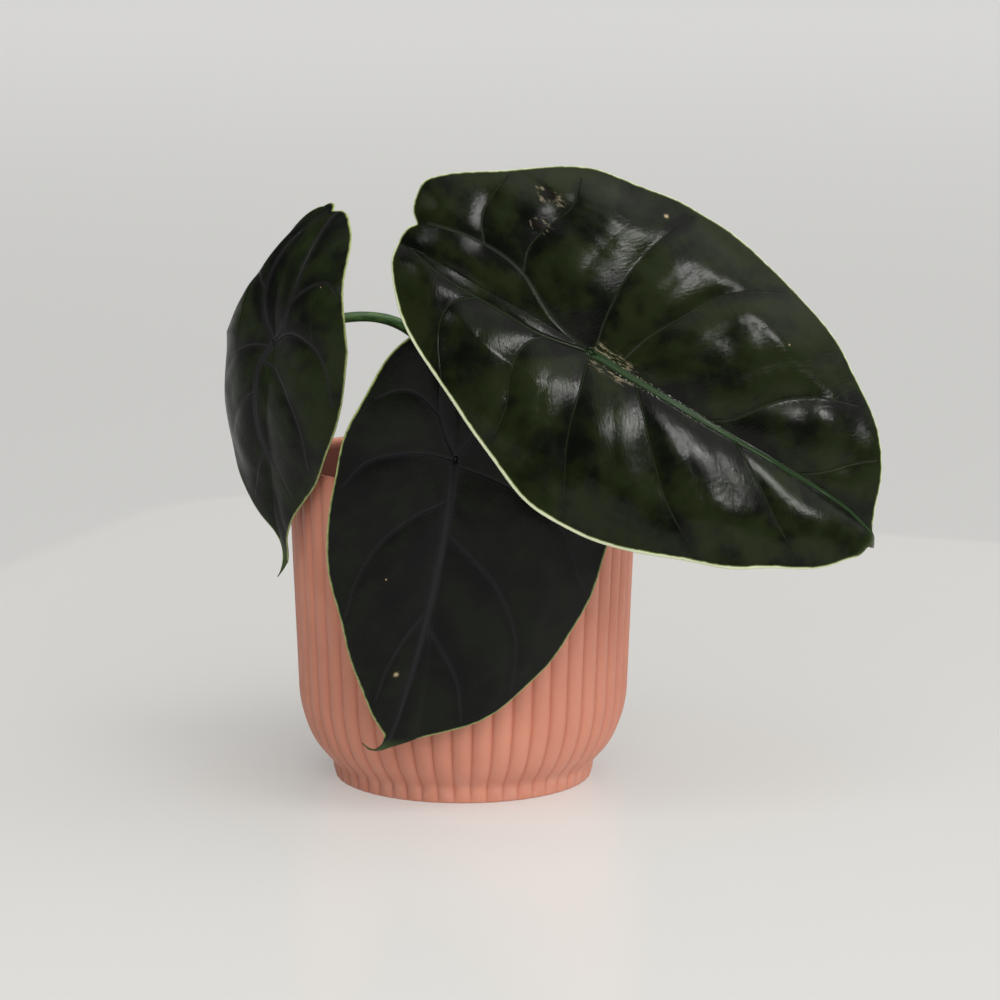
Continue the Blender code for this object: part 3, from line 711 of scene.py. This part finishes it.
def lumps(flat, size, seed, waves=28):
    """Smooth random relief of about unit height, with swells about size across."""
    draw = np.random.default_rng(seed)
    angle = draw.uniform(0.0, math.tau, waves)
    pace = math.tau / size * draw.uniform(0.35, 1.25, waves)
    phase = draw.uniform(0.0, math.tau, waves)
    total = np.zeros(len(flat))
    for a, k, p in zip(angle, pace, phase):
        total += np.cos(k * (flat[:, 0] * math.cos(a) + flat[:, 1] * math.sin(a)) + p)
    return total / math.sqrt(waves / 2)


# ======== leaf blades ========

def blade_axes(leaf):
    """Across, along (towards the notch) and out of the upper side."""
    out = Vector(leaf["faces"]).normalized()
    along = -Vector(leaf["tip_direction"])
    along = (along - out * along.dot(out)).normalized()
    return along.cross(out), along, out


def bend_blade(leaf, flat, lift):
    """Carry flat points (mm) onto the bent blade, in metres, raised by lift (mm)."""
    across, along = flat[:, 0].copy(), flat[:, 1]
    reach = -leaf["right"][-1][1]
    head = leaf["right"][0][1]
    to_tip = np.clip(-along / reach, 0.0, 1.2)
    to_top = np.clip(along / head, 0.0, 1.3)
    hook = leaf["hook_from"]
    past_hook = np.clip((-along / reach - hook) / (1 - hook), 0.0, 1.5)
    across += leaf["bow"] * np.sin(math.pi * np.clip(to_tip, 0.0, 1.0))
    across += leaf["sweep"] * to_tip ** 2 + leaf["top_sweep"] * to_top ** 2
    across += leaf["tip_side"] * past_hook ** 2

    spine = np.linspace(-1.15 * reach, 1.3 * head + 12.0, 600)
    hooked = np.clip((-spine / reach - hook) / (1 - hook), 0.0, 1.5)
    turn = np.where(spine < 0, leaf["tip_bend"] * -spine / reach + leaf["tip_hook"] * hooked ** 2,
                    -leaf["top_bend"] * spine / head)
    turn = np.radians(turn)
    step = np.gradient(spine)
    forward = np.cumsum(np.cos(turn) * step)
    fall = np.cumsum(np.sin(turn) * step)
    forward -= np.interp(0.0, spine, forward)
    fall -= np.interp(0.0, spine, fall)
    spine_y = np.interp(along, spine, forward)
    spine_z = np.interp(along, spine, fall)
    tilt = np.interp(along, spine, turn)

    roll = np.radians(np.where(across > 0, leaf["roll_right"], leaf["roll_left"])) / ROLL_AT
    roll = roll * (1 + leaf["top_curl"] * np.clip(to_top, 0.0, 1.2) * (across < 0))
    width = np.abs(across)
    side = np.sin(roll * width) / roll * np.sign(across)
    height = -(1 - np.cos(roll * width)) / roll
    height += leaf["valley"] * (1 - np.exp(-width / leaf["valley_width"]))
    height += leaf["dimple"] * (1 - np.exp(-(np.hypot(across, along) / DIMPLE_WIDTH) ** 2))
    height += lift

    local_y = spine_y - height * np.sin(tilt)
    local_z = spine_z + height * np.cos(tilt)
    axes = [np.array(axis) for axis in blade_axes(leaf)]
    offset = np.outer(side, axes[0]) + np.outer(local_y, axes[1]) + np.outer(local_z, axes[2])
    return np.array(leaf["joint"]) + MM * offset


def from_curve(flat, curve):
    """Signed distance of each point from the curve, and how far along it (0 to 1) it lies."""
    best = np.full(len(flat), NOWHERE)
    sign = np.ones(len(flat))
    run = np.zeros(len(flat))
    lengths = np.linalg.norm(np.diff(curve, axis=0), axis=1)
    starts = np.concatenate([[0.0], np.cumsum(lengths)])
    for k, (a, b) in enumerate(zip(curve, curve[1:])):
        step = b - a
        share = np.clip(((flat - a) @ step) / (step @ step), 0.0, 1.0)
        gap = flat - (a + share[:, None] * step)
        far = np.hypot(gap[:, 0], gap[:, 1])
        closer = far < best
        best[closer] = far[closer]
        turn = step[0] * (flat[:, 1] - a[1]) - step[1] * (flat[:, 0] - a[0])
        sign[closer] = np.sign(turn[closer]) + (turn[closer] == 0)
        run[closer] = (starts[k] + share[closer] * lengths[k]) / starts[-1]
    return best * sign, run


def smooth_step(value, low, high):
    t = np.clip((value - low) / (high - low), 0.0, 1.0)
    return t * t * (3 - 2 * t)


def leaf_veins(leaf):
    """Every vein as (curve, half width at start, half width at end, crease depth, spread)."""
    veins = [(catmull(leaf["midrib"], 5), *MIDRIB)]
    veins += [(catmull(path, 5), *COSTA) for path in leaf["costae"]]
    sides = [catmull(path, 5) for path in leaf["laterals"]]
    veins += [(curve, *LATERAL) for curve in sides]
    for one, other, share in leaf["minors"]:
        steps = np.linspace(0.04, 0.86, 12)
        a, b = read_along(sides[one], steps), read_along(sides[other], steps)
        veins.append((a * (1 - share) + b * share, *MINOR))
    return veins


def relief(leaf, flat, edge):
    """Quilting lift in mm, and the vein measures the skin needs."""
    bulge = np.ones(len(flat))
    ridge = np.zeros(len(flat))
    nearest = np.full(len(flat), NOWHERE)
    across = np.full(len(flat), NOWHERE)
    rib_across = np.full(len(flat), NOWHERE)
    back_ribs = np.zeros(len(flat))
    for number, (curve, wide, narrow, depth, spread) in enumerate(leaf_veins(leaf)):
        away, run = from_curve(flat, curve)
        far = np.abs(away)
        width = wide + (narrow - wide) * run
        ends = 1.0 if number == 0 else 1 - 0.75 * smooth_step(run, 0.55, 1.0)
        bulge *= 1 - depth * ends * np.exp(-np.sqrt(far ** 2 + 0.6) / spread)
        raised = np.exp(-(far / (1.15 * width)) ** 2)
        back_ribs = np.maximum(back_ribs, raised * width * (1.15 if depth > 0.5 else 0.5))
        if number == 0:
            rib_across = away / width
            ridge = leaf["ridge"] * width * np.exp(-(far / width) ** 4) * smooth_step(run, 0.0, 0.05)
        if depth < MINOR_VEIN:
            continue
        closer = far / width < nearest
        nearest[closer] = (far / width)[closer]
        across[closer] = (away / width)[closer]
    coarse = COARSE_SHARE * lumps(flat, COARSE_LUMPS, leaf["seed"])
    fine = FINE_SHARE * lumps(flat, FINE_LUMPS, leaf["seed"] + 1)
    lift = leaf["quilting"] * bulge * (1 + coarse + fine)
    lift = lift * (0.25 + 0.75 * smooth_step(edge, -3.0, 24.0)) + ridge * smooth_step(edge, 0.0, 6.0)
    return lift, nearest, across, rib_across, back_ribs


def build_blade(name, leaf):
    """A web of rings and spokes stretched to the outline, quilted, bent and given thickness.
    Spokes crowd towards the tip and the notch, where the main veins run."""
    even = np.linspace(0.0, 1.0, SPOKES_PER_HALF + 1)
    share = 0.45 * even + 0.55 * (1 - np.cos(math.pi * even)) / 2
    right = read_along(catmull(leaf["right"], 24), share)
    left = read_along(catmull(leaf["left"], 24), share)
    outline = np.vstack([right, left[-2:0:-1]])
    uneven = OUTLINE_SHARE * lumps(outline, COARSE_LUMPS, leaf["seed"] + 3, 12)
    outline = outline * (1 + uneven[:, None])
    around = len(outline)
    fractions = np.linspace(0.0, 1.0, BLADE_RINGS + 1)[1:] ** 0.92
    flat = np.vstack([[(0.0, 0.0)]] + [outline * f for f in fractions])
    edge = np.abs(from_curve(flat, np.vstack([outline[::3], outline[:1]]))[0])
    edge[-around:] = 0.0
    lift, nearest, across, rib_across, back_ribs = relief(leaf, flat, edge)
    wave = MARGIN_WAVE * lumps(flat, WAVE_LENGTH, leaf["seed"] + 2)
    wave *= 1 - smooth_step(edge, 0.0, 16.0)
    upper = bend_blade(leaf, flat, lift + wave)

    top_faces = fan(0, 1, around) + ring_faces(BLADE_RINGS, around, 1)
    probe = bpy.data.meshes.new("probe")
    probe.from_pydata(upper.tolist(), [], top_faces)
    normals = np.zeros(len(upper) * 3)
    probe.vertices.foreach_get("normal", normals)
    bpy.data.meshes.remove(probe)
    normals = normals.reshape(-1, 3)
    out = np.array(blade_axes(leaf)[2])
    if (normals @ out).sum() < 0:
        normals = -normals
        top_faces = turned_over(top_faces)

    # Round the joint the blade is cut back to its plain thickness, so the back stays behind it.
    off_joint = smooth_step(np.hypot(flat[:, 0], flat[:, 1]), 1.0, 7.0)
    normals = normals * off_joint[:, None] + out * (1 - off_joint)[:, None]
    normals /= np.linalg.norm(normals, axis=1)[:, None]
    back_ribs = back_ribs * off_joint
    thick = MARGIN_THICKNESS + (BLADE_THICKNESS - MARGIN_THICKNESS) * smooth_step(edge, 0.0, 8.0)
    depth = (thick + back_ribs * smooth_step(edge, 0.0, 5.0))[:, None] * MM
    lower = upper - normals * depth
    rim, under_rim = upper[-around:], lower[-around:]
    outward = rim - upper[-2 * around:-around]
    outward /= np.linalg.norm(outward, axis=1)[:, None]
    round_off = MARGIN_THICKNESS * MM / 2
    middle = (rim + under_rim) / 2 + outward * round_off
    high = rim * 0.82 + under_rim * 0.18 + outward * round_off * 0.72
    low = rim * 0.18 + under_rim * 0.82 + outward * round_off * 0.72

    count = len(upper)
    points = np.vstack([upper, high, middle, low, lower])
    under_first = count + 3 * around
    flipped = top_faces[0][1] == 2
    faces = list(top_faces)
    faces += [tuple(under_first + v for v in reversed(face)) for face in top_faces]
    bands = [count - around, count, count + around, count + 2 * around,
             under_first + count - around]
    for first, second in zip(bands, bands[1:]):
        quads = band(first, second, around)
        faces += turned_over(quads) if flipped else quads
    blade = make_piece(name + "_skin", points, faces, leaf_material(name + "_skin", LOOKS[name]),
                       [name])

    rim_flat = np.tile(np.hstack([outline, np.zeros((around, 1))]), (3, 1))
    flat3 = np.hstack([flat, np.zeros((count, 1))])
    store(blade, "flat", np.vstack([flat3, rim_flat, flat3]))
    # The drip tip has no pale margin.
    tip_start = -leaf["right"][-1][1] * TIP_FROM
    plain = 0.9 * smooth_step(-flat[:, 1], tip_start, tip_start + 4.0)
    margin = edge + plain
    store(blade, "margin", np.concatenate([margin, np.tile(plain[-around:], 3), margin]))
    measures = {"vein_near": nearest, "vein_across": across, "rib_across": rib_across}
    for key, values in measures.items():
        values = np.clip(values, -FAR_OFF, FAR_OFF)
        store(blade, key, np.concatenate([values, np.full(3 * around, FAR_OFF), values]))
    store(blade, "under", np.concatenate([np.zeros(count + 2 * around), np.full(around, 0.5),
                                          np.ones(count)]))
    return blade


# ======== stalks ========

def build_stalk(name, stalk, mat):
    """A tapering fleshy tube with a sheathing foot and a flare into the blade's veins."""
    leaf = stalk["blade"]
    out = blade_axes(leaf)[2]
    start = Vector((stalk["base"][0], CROWN_Y + stalk["base"][1], CROWN_TOP - ROOTING_DEPTH))
    end_radius = stalk["radii"][1]
    back = Vector(leaf["joint"]) - out * (MM + CLEARANCE)
    approach = Vector(stalk["approach"])
    end = back + out * 0.0005
    handles = [np.array(p) for p in (start, start + Vector(stalk["rise"]),
                                     back + approach, end)]
    around = STALK_STEPS
    t = np.linspace(0.0, 1.0, STALK_RINGS)[:, None]
    line = bezier(handles, t)
    run = np.concatenate([[0.0], np.cumsum(np.linalg.norm(np.diff(line, axis=0), axis=1))]) / MM
    ahead = np.gradient(line, axis=0)
    ahead /= np.linalg.norm(ahead, axis=1)[:, None]
    left_over = run[-1] - run
    settle = np.exp(-(left_over / 3.5) ** 2)[:, None]
    ahead = ahead * (1 - settle) + np.array(out) * settle
    ahead /= np.linalg.norm(ahead, axis=1)[:, None]
    side = np.cross(ahead[0], (0.0, 1.0, 0.0))
    side /= np.linalg.norm(side)
    t = t[:, 0]
    taper = stalk["radii"][0] + (end_radius - stalk["radii"][0]) * np.minimum(1.0, t * 1.4)
    foot = np.exp(-(run / 16.0) ** 2)
    flare = np.exp(-(left_over / 2.5) ** 2)
    radius = taper * (1 + 0.28 * foot + 0.10 * np.exp(-(left_over / 12.0) ** 2) + 0.30 * flare)
    theta = angles(around)
    points, skin = [], []
    for k in range(STALK_RINGS):
        side = side - ahead[k] * (side @ ahead[k])
        side /= np.linalg.norm(side)
        up = np.cross(ahead[k], side)
        # The foot is a sheath, open down its inner side; higher up the stalk is round.
        dent = 1 - 0.22 * foot[k] * np.exp(-((theta - math.pi) / 0.5) ** 2)
        wobble = 1 + 0.018 * np.sin(3 * theta + run[k] * 0.05) + 0.012 * math.sin(run[k] * 0.31)
        r = radius[k] * dent * wobble
        ring = line[k] + np.outer(np.cos(theta) * r, side) + np.outer(np.sin(theta) * r, up)
        points.append(ring)
        skin.append(circle(theta, SKIN_RADIUS, run[k]))
    caps = len(points) * around
    points += [line[:1], line[-1:]]
    skin = np.vstack(skin + [[(0.0, 0.0, 0.0), (0.0, 0.0, run[-1])]])
    faces = ring_faces(STALK_RINGS, around) + turned_over(fan(caps, 0, around))
    faces += fan(caps + 1, caps - around, around)
    tube = make_piece(name + "_skin", np.vstack(points), faces, mat, [name])
    store(tube, "skin", skin)
    store(tube, "along", skin[:, 2])
    return tube


# ======== pots ========

def turned_piece(name, rings, around, mat, nodes, reshape=None, smooth_angle=None):
    """Turn a closed (radius, height) loop about Z; reshape may alter a ring's radius by angle."""
    theta = angles(around)
    points = []
    for k, (radius, height) in enumerate(rings):
        r = radius if reshape is None else reshape(k, radius, height)
        points.append(circle(theta, r, height))
    faces = ring_faces(len(rings), around) + band((len(rings) - 1) * around, 0, around)
    return make_piece(name, np.vstack(points), faces, mat, nodes, smooth_angle)


def straight(start, end, shares):
    """Profile points on the line between two (radius, height) pairs."""
    return [(start[0] + (end[0] - start[0]) * share, start[1] + (end[1] - start[1]) * share)
            for share in shares]


def rib_sag(theta):
    """How far the wall sinks at each angle, 0 on a rib's crest and 1 in the groove."""
    rounds = theta / math.tau * RIB_COUNT
    across = np.abs(2 * (rounds - np.floor(rounds + 1e-6)) - 1)
    circle = 1 - np.sqrt(np.clip(1 - (across * 0.97) ** 2, 0.0, 1.0))
    return 0.35 * circle + 0.65 * across ** 2.0


def build_cover_pot():
    def turn(degrees, inset):
        angle = math.radians(degrees)
        radius = COVER_SHOULDER_RADIUS - COVER_TURN_WIDTH * (1 - math.cos(angle))
        height = COVER_SHOULDER_HEIGHT - COVER_TURN_DROP * math.sin(angle)
        return (radius - inset * math.cos(angle), height + inset * math.sin(angle))

    lip = COVER_WALL / 2
    outside = [(RIM_RADIUS - 0.0006, COVER_HEIGHT - 0.00012),
               (RIM_RADIUS - 0.00018, COVER_HEIGHT - 0.0006)]
    outside += straight((RIM_RADIUS, COVER_HEIGHT - COVER_RIM_ROUND),
                        (COVER_SHOULDER_RADIUS, COVER_SHOULDER_HEIGHT), np.linspace(0.0, 1.0, 18))
    outside += [turn(degrees, 0.0) for degrees in np.linspace(4.0, BELLY_END, 14)]
    # A small hollow carries the belly into the upright foot.
    start, before = np.array(turn(BELLY_END, 0.0)), np.array(turn(BELLY_END - 1.0, 0.0))
    aim = (start - before) / np.linalg.norm(start - before)
    foot_top = np.array((COVER_FOOT_RADIUS + 0.0006, COVER_FOOT_HEIGHT * 0.6))
    handles = (start, start + aim * 0.0042, foot_top + np.array((0.0, 0.0030)), foot_top)
    outside += [tuple(bezier(handles, t)) for t in np.linspace(0.0, 1.0, 9)[1:]]
    outside += [(COVER_FOOT_RADIUS + 0.0002, 0.0022), (COVER_FOOT_RADIUS - 0.0001, 0.0009),
                (COVER_FOOT_RADIUS - 0.0004, 0.0003), (COVER_FOOT_RADIUS - 0.0010, 0.0)]
    ribbed = len(outside)
    # The floor and the wall inside keep clear of that hollow.
    inset = COVER_WALL + RIB_DEPTH
    inner_foot = turn(50.0, inset)
    inside = [(COVER_FOOT_RADIUS - 0.006, 0.0), (COVER_FOOT_RADIUS - 0.007, 0.0008), (0.0006, 0.0008),
              (0.0006, COVER_FLOOR), (inner_foot[0] - 0.0082, COVER_FLOOR),
              (inner_foot[0] - 0.0066, COVER_FLOOR + 0.0007),
              (inner_foot[0] - 0.0044, COVER_FLOOR + 0.0050)]
    inside += [turn(degrees, inset) for degrees in np.linspace(50.0, 0.0, 8)]
    inner_top = RIM_RADIUS - COVER_WALL
    inside += straight(turn(0.0, inset), (inner_top, COVER_HEIGHT - 0.0011),
                       (0.15, 0.35, 0.55, 0.72, 0.85, 0.93, 0.965, 0.985, 1.0))
    inside += [(inner_top + 0.0003, COVER_HEIGHT - 0.00035), (inner_top + lip * 0.7, COVER_HEIGHT)]
    around = RIB_COUNT * STEPS_PER_RIB
    sag = rib_sag(angles(around))

    def ribs(k, radius, height):
        if k >= ribbed:
            return radius
        # The grooves run out over the rounded rim, and shallow towards the foot.
        at_rim = min(1.0, 0.55 + 0.45 * max(0.0, (COVER_HEIGHT - height) / COVER_RIM_ROUND))
        low = 0.60 + 0.40 * min(1.0, height / GROOVE_FULL_Z)
        at_foot = min(1.0, 0.25 + height / GROOVE_END_Z)
        return radius - GROOVE_DEPTH * sag * at_rim * low * at_foot

    rings = outside + inside
    pot = turned_piece("cover_pot_shell", rings, around, salmon_plastic(),
                       ["cover_pot"], ribs, 50.0)
    # Painted shade in the grooves, strongest at their bottoms.
    groove_shade = np.concatenate([np.tile(np.clip(sag * 1.5 - 0.6, 0.0, 1.0), ribbed),
                             np.zeros(around * len(inside))])
    store(pot, "groove_shade", groove_shade)
    # Painted shade inside the pot, deepening from just below the rim.
    depths = [smooth_step(np.array([COVER_HEIGHT - z]), 0.0008, 0.0035)[0] for _, z in inside]
    store(pot, "inside_shade", np.repeat([0.0] * ribbed + depths, around))
    return pot


def build_grow_pot():
    rim = GROW_RIM_RADIUS
    top = rim - GROW_LIP_WIDTH
    base = GROW_BASE_Z
    under_lip = GROW_RIM_Z - GROW_LIP_HEIGHT
    foot = GROW_FOOT_RADIUS
    rings = [(rim - 0.0005, GROW_RIM_Z), (rim - 0.0001, GROW_RIM_Z - 0.0004),
             (rim, GROW_RIM_Z - 0.0012), (rim, under_lip + 0.0008), (rim - 0.0003, under_lip + 0.0002),
             (rim - 0.0008, under_lip), (top + 0.0006, under_lip), (top, under_lip - 0.0008)]
    turn_radius, turn_z, inner_low = foot + GROW_FOOT_TURN, base + GROW_FOOT_RISE, base + 0.004
    rings += straight((top, under_lip), (turn_radius, turn_z), np.linspace(0.08, 0.96, 8))
    rings += [(foot + 0.0016, base + 0.0018), (foot + 0.0006, base + 0.0004), (foot - 0.001, base),
              (foot * 0.5, base), (0.0006, base), (0.0006, base + GROW_WALL),
              (foot * 0.5, base + GROW_WALL), (foot - GROW_WALL - 0.001, base + GROW_WALL),
              (turn_radius - GROW_WALL, inner_low)]
    inner_high = under_lip + GROW_WALL
    rings += straight(rings[-1], (top - GROW_WALL, inner_high), np.linspace(0.1, 0.97, 8))
    rings += [(top - GROW_WALL + 0.0004, inner_high + 0.0001),
              (rim - GROW_WALL - 0.0006, inner_high + 0.0006),
              (rim - GROW_WALL, inner_high + 0.0014), (rim - GROW_WALL, GROW_RIM_Z - 0.0009),
              (rim - GROW_WALL + 0.0002, GROW_RIM_Z - 0.0002)]
    return turned_piece("grow_pot_shell", rings, GROW_STEPS, black_plastic(),
                        ["grow_pot"], smooth_angle=40.0)


# ======== potting mix and crown ========

def mix_height(x, y):
    """The loose surface of the mix: domed, lumpy, heaped a little round the crown."""
    away = np.hypot(x, y)
    flat = np.stack([x, y], 1) / MM
    dome = MIX_DOME * (1 - np.clip(away / 0.055, 0.0, 1.0) ** 2)
    rough = sum(height * lumps(flat, size, seed) for height, size, seed in MIX_LUMPS)
    heap = 0.0012 * np.exp(-((np.hypot(x, y - CROWN_Y) - CROWN_RADIUS) / 0.006) ** 2)
    return MIX_Z - 0.0008 + dome * 0.9 + rough * np.clip((0.056 - away) / 0.006, 0.2, 1.0) + heap


def mix_wall(z):
    """Inner radius of the nursery pot at height z, less a hair."""
    top = GROW_RIM_RADIUS - GROW_LIP_WIDTH
    turn_z, turn_radius = GROW_BASE_Z + GROW_FOOT_RISE, GROW_FOOT_RADIUS + GROW_FOOT_TURN
    share = (z - turn_z) / (GROW_RIM_Z - GROW_LIP_HEIGHT - turn_z)
    return turn_radius + (top - turn_radius) * share - GROW_WALL - 2 * CLEARANCE


def build_mix():
    around = MIX_STEPS
    theta = angles(around)
    edge = mix_wall(MIX_Z)
    points = [np.array([[0.0, 0.0, float(mix_height(np.zeros(1), np.zeros(1))[0])]])]
    for share in np.linspace(0.0, 1.0, MIX_RINGS + 1)[1:]:
        ring = circle(theta, edge * share, 0.0)
        ring[:, 2] = mix_height(ring[:, 0], ring[:, 1])
        points.append(ring)
    base = GROW_BASE_Z + GROW_WALL + CLEARANCE
    for z in (MIX_Z - 0.004, MIX_Z - 0.02, MIX_Z - 0.05, base + 0.004):
        points.append(circle(theta, mix_wall(z), z))
    points.append(circle(theta, GROW_FOOT_RADIUS - GROW_WALL - 2 * CLEARANCE, base))
    total = len(points) - 1
    points.append(np.array([[0.0, 0.0, base]]))
    faces = fan(0, 1, around) + turned_over(ring_faces(total, around, 1))
    last = 1 + (total - 1) * around
    faces += turned_over(fan(last + around, last, around))
    return make_piece("mix_body", np.vstack(points), faces, mix_material(),
                      ["potting_mix"])


def chip_shape(level):
    work = bmesh.new()
    bmesh.ops.create_icosphere(work, subdivisions=level, radius=1.0)
    points = np.array([v.co[:] for v in work.verts])
    faces = [tuple(v.index for v in face.verts) for face in work.faces]
    work.free()
    return points, faces


# What lies on the mix: sizes in mm, how flat, how high it stands out, how angular.
STREWN = {
    "bark_chips": {
        "count": 190, "sizes": (1.6, 3.6), "squash": (0.25, 0.5), "sink": 0.45,
        "skin": ("bark", (0.030, 0.015, 0.008), (0.125, 0.068, 0.036), 0.85),
        "seed": 71, "angular": 0.22, "level": 1,
    },
    "coir_crumbs": {
        "count": 900, "sizes": (0.5, 1.3), "squash": (0.5, 1.0), "sink": 0.35,
        "skin": ("coir", (0.016, 0.010, 0.006), (0.070, 0.042, 0.024), 0.95),
        "seed": 72, "angular": 0.30, "level": 1,
    },
    "perlite": {
        "count": 70, "sizes": (0.7, 1.5), "squash": (0.7, 1.0), "sink": 0.4,
        "skin": ("perlite_grain", (0.48, 0.46, 0.42), (0.74, 0.72, 0.68), 0.9),
        "seed": 73, "angular": 0.18, "level": 2,
    },
}


def scatter(name, count, sizes, squash, sink, skin, seed, angular, level):
    """Chips or crumbs strewn over the mix, each its own lump, as one piece."""
    mat = crumb_material(*skin)
    draw = np.random.default_rng(seed)
    shape, shape_faces = chip_shape(level)
    points, faces, tones = [], [], []
    made = 0
    while made < count:
        away = STREWN_RADIUS * math.sqrt(draw.uniform(0.0, 1.0))
        angle = draw.uniform(0.0, math.tau)
        x, y = away * math.cos(angle), away * math.sin(angle)
        size = draw.uniform(*sizes) * MM
        in_crown = math.hypot(x, y - CROWN_Y) < CROWN_RADIUS + size
        if in_crown or away > mix_wall(MIX_Z) - size - 0.0008:
            continue
        lump = shape * (1 + angular * draw.uniform(-1.0, 1.0, (len(shape), 1)))
        stretch = np.array([draw.uniform(0.7, 1.5), draw.uniform(0.55, 1.0),
                            draw.uniform(*squash)])
        lump = lump * stretch * size
        turn = draw.uniform(0.0, math.tau)
        lean, tip = draw.normal(0.0, LEAN), draw.normal(0.0, LEAN)
        lump = lump @ np.array(Euler((lean, tip, turn), "YXZ").to_matrix()).T
        ground = float(mix_height(np.array([x]), np.array([y]))[0])
        lump += (x, y, ground + size * stretch[2] * sink)
        first = made * len(shape)
        points.append(lump)
        faces += [tuple(first + v for v in face) for face in shape_faces]
        tones.append(np.full(len(shape), draw.uniform(0.0, 1.0)))
        made += 1
    piece = make_piece(name, np.vstack(points), faces, mat, [], 32.0)
    store(piece, "tone", np.concatenate(tones))
    return piece


def build_crown():
    """A stubby rhizome ringed with old leaf scars, under the sheathing stalk feet."""
    around = CROWN_STEPS
    theta = angles(around)
    low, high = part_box("crown")[0].z, CROWN_TOP
    heights = np.concatenate([np.linspace(low, MIX_TOP - 0.006, 10),
                              np.linspace(MIX_TOP - 0.0045, high, 44)])
    points = []
    for z in heights:
        up = (z - low) / (high - low)
        base = CROWN_RADIUS * (0.45 + 0.55 * smooth_step(np.array([z]), low - 0.001, low + 0.012)[0])
        cap = np.clip((high - z) / 0.0055, 0.0, 1.0)
        base *= math.sqrt(max(1e-4, 1 - (1 - cap) ** 2)) * 0.985
        spiral = z / SCAR_PITCH + theta / math.tau
        scar = spiral - np.floor(spiral)
        step = 0.0006 * (np.exp(-((scar - 0.5) / 0.13) ** 2) - 0.4)
        knobs = 0.0005 * np.sin(5 * theta + z * 900) + 0.0003 * np.sin(11 * theta - z * 1700)
        r = base + (step + knobs) * min(1.0, cap + 0.2) * (up > 0.3)
        points.append(circle(theta, r, z, CROWN_Y))
    count = len(heights) * around
    points.append(np.array([(0.0, CROWN_Y, low), (0.0, CROWN_Y, high)]))
    faces = ring_faces(len(heights), around) + turned_over(fan(count, 0, around))
    faces += fan(count + 1, count - around, around)
    return make_piece("crown_rhizome", np.vstack(points), faces, crown_material(),
                      ["crown"])


# ======== studio ========

def build_table():
    s = Shade("tabletop")
    place = s.place()
    turned = s.node("ShaderNodeVectorRotate", place, (*TABLE_CORNER, 0.0))
    turned.node.inputs["Angle"].default_value = math.radians(TABLE_TURN)
    local = s.node("ShaderNodeSeparateXYZ", turned).node
    # The table ends at a rounded far corner; past it the floor is pale grey that grows paler with
    # distance, painted light that makes up for the lamps' fall-off on the far floor.
    left_room = s.minus(local.outputs[0], TABLE_CORNER[0])
    back_room = s.minus(TABLE_CORNER[1], local.outputs[1])
    a = s.math("MAXIMUM", s.minus(TABLE_ROUNDING, left_room), 0.0)
    b = s.math("MAXIMUM", s.minus(TABLE_ROUNDING, back_room), 0.0)
    corner = s.math("SQRT", s.plus(s.times(a, a), s.times(b, b)))
    off_table = s.span(corner, TABLE_ROUNDING - TABLE_SOFT, TABLE_ROUNDING + TABLE_SOFT)
    cloud = s.span(s.noise(place, 1.3, 2.0), 0.3, 0.7)
    table = s.mix(cloud, (0.385, 0.380, 0.366), (0.405, 0.402, 0.389))
    beyond = s.span(s.node("ShaderNodeSeparateXYZ", place, output=1), 0.5, 5.0)
    floor_colour = s.mix(beyond, (0.270, 0.272, 0.270), (0.60, 0.605, 0.605))
    colour = s.mix(off_table, table, floor_colour)
    roughness = s.span(off_table, 0.0, 1.0, 0.33, 0.9)
    normal = s.bump(s.noise(place, 900.0, 2.0), 0.04, 0.0001)
    mat = s.finish(colour, roughness, normal, Specular_IOR_Level=0.32,
                   Emission_Color=(1.0, 0.985, 0.955, 1.0), Emission_Strength=TABLE_GLOW)
    mesh = bpy.data.meshes.new("floor")
    half = FLOOR_HALF
    mesh.from_pydata([(-half, -half, 0), (half, -half, 0), (half, half, 0), (-half, half, 0)], [],
                     [(0, 1, 2, 3)])
    mesh.materials.append(mat)
    floor = bpy.data.objects.new("floor", mesh)
    bpy.context.scene.collection.objects.link(floor)


def build_room():
    """Soft light from all round, strongest over and behind the plant."""
    world = bpy.data.worlds.new("studio")
    world.use_nodes = True
    room = Graph(world.node_tree)
    background = room.tree.nodes["Background"]
    facing = room.vector("DOT_PRODUCT", room.node("ShaderNodeTexCoord"),
                         Vector(BRIGHT_SIDE).normalized(), 1)
    room.feed(background.inputs["Strength"],
              room.span(facing, BRIGHT_FROM, BRIGHT_FULL, ROOM_DARK, ROOM_BRIGHT))
    background.inputs["Color"].default_value = ROOM_COLOUR
    bpy.context.scene.world = world
    view = bpy.context.scene.view_settings
    view.view_transform = "Standard"
    view.look = "None"


build_camera()
build_table()
build_room()
build_lamps()
build_cover_pot()
build_grow_pot()
build_mix()
for strewn_name, strewn in STREWN.items():
    scatter(strewn_name, **strewn)
build_crown()
stalk_skin = stalk_material()
for stalk_name, stalk_sizes in STALKS.items():
    build_stalk(stalk_name, stalk_sizes, stalk_skin)
for blade_name, blade_shape in BLADES.items():
    build_blade(blade_name, blade_shape)
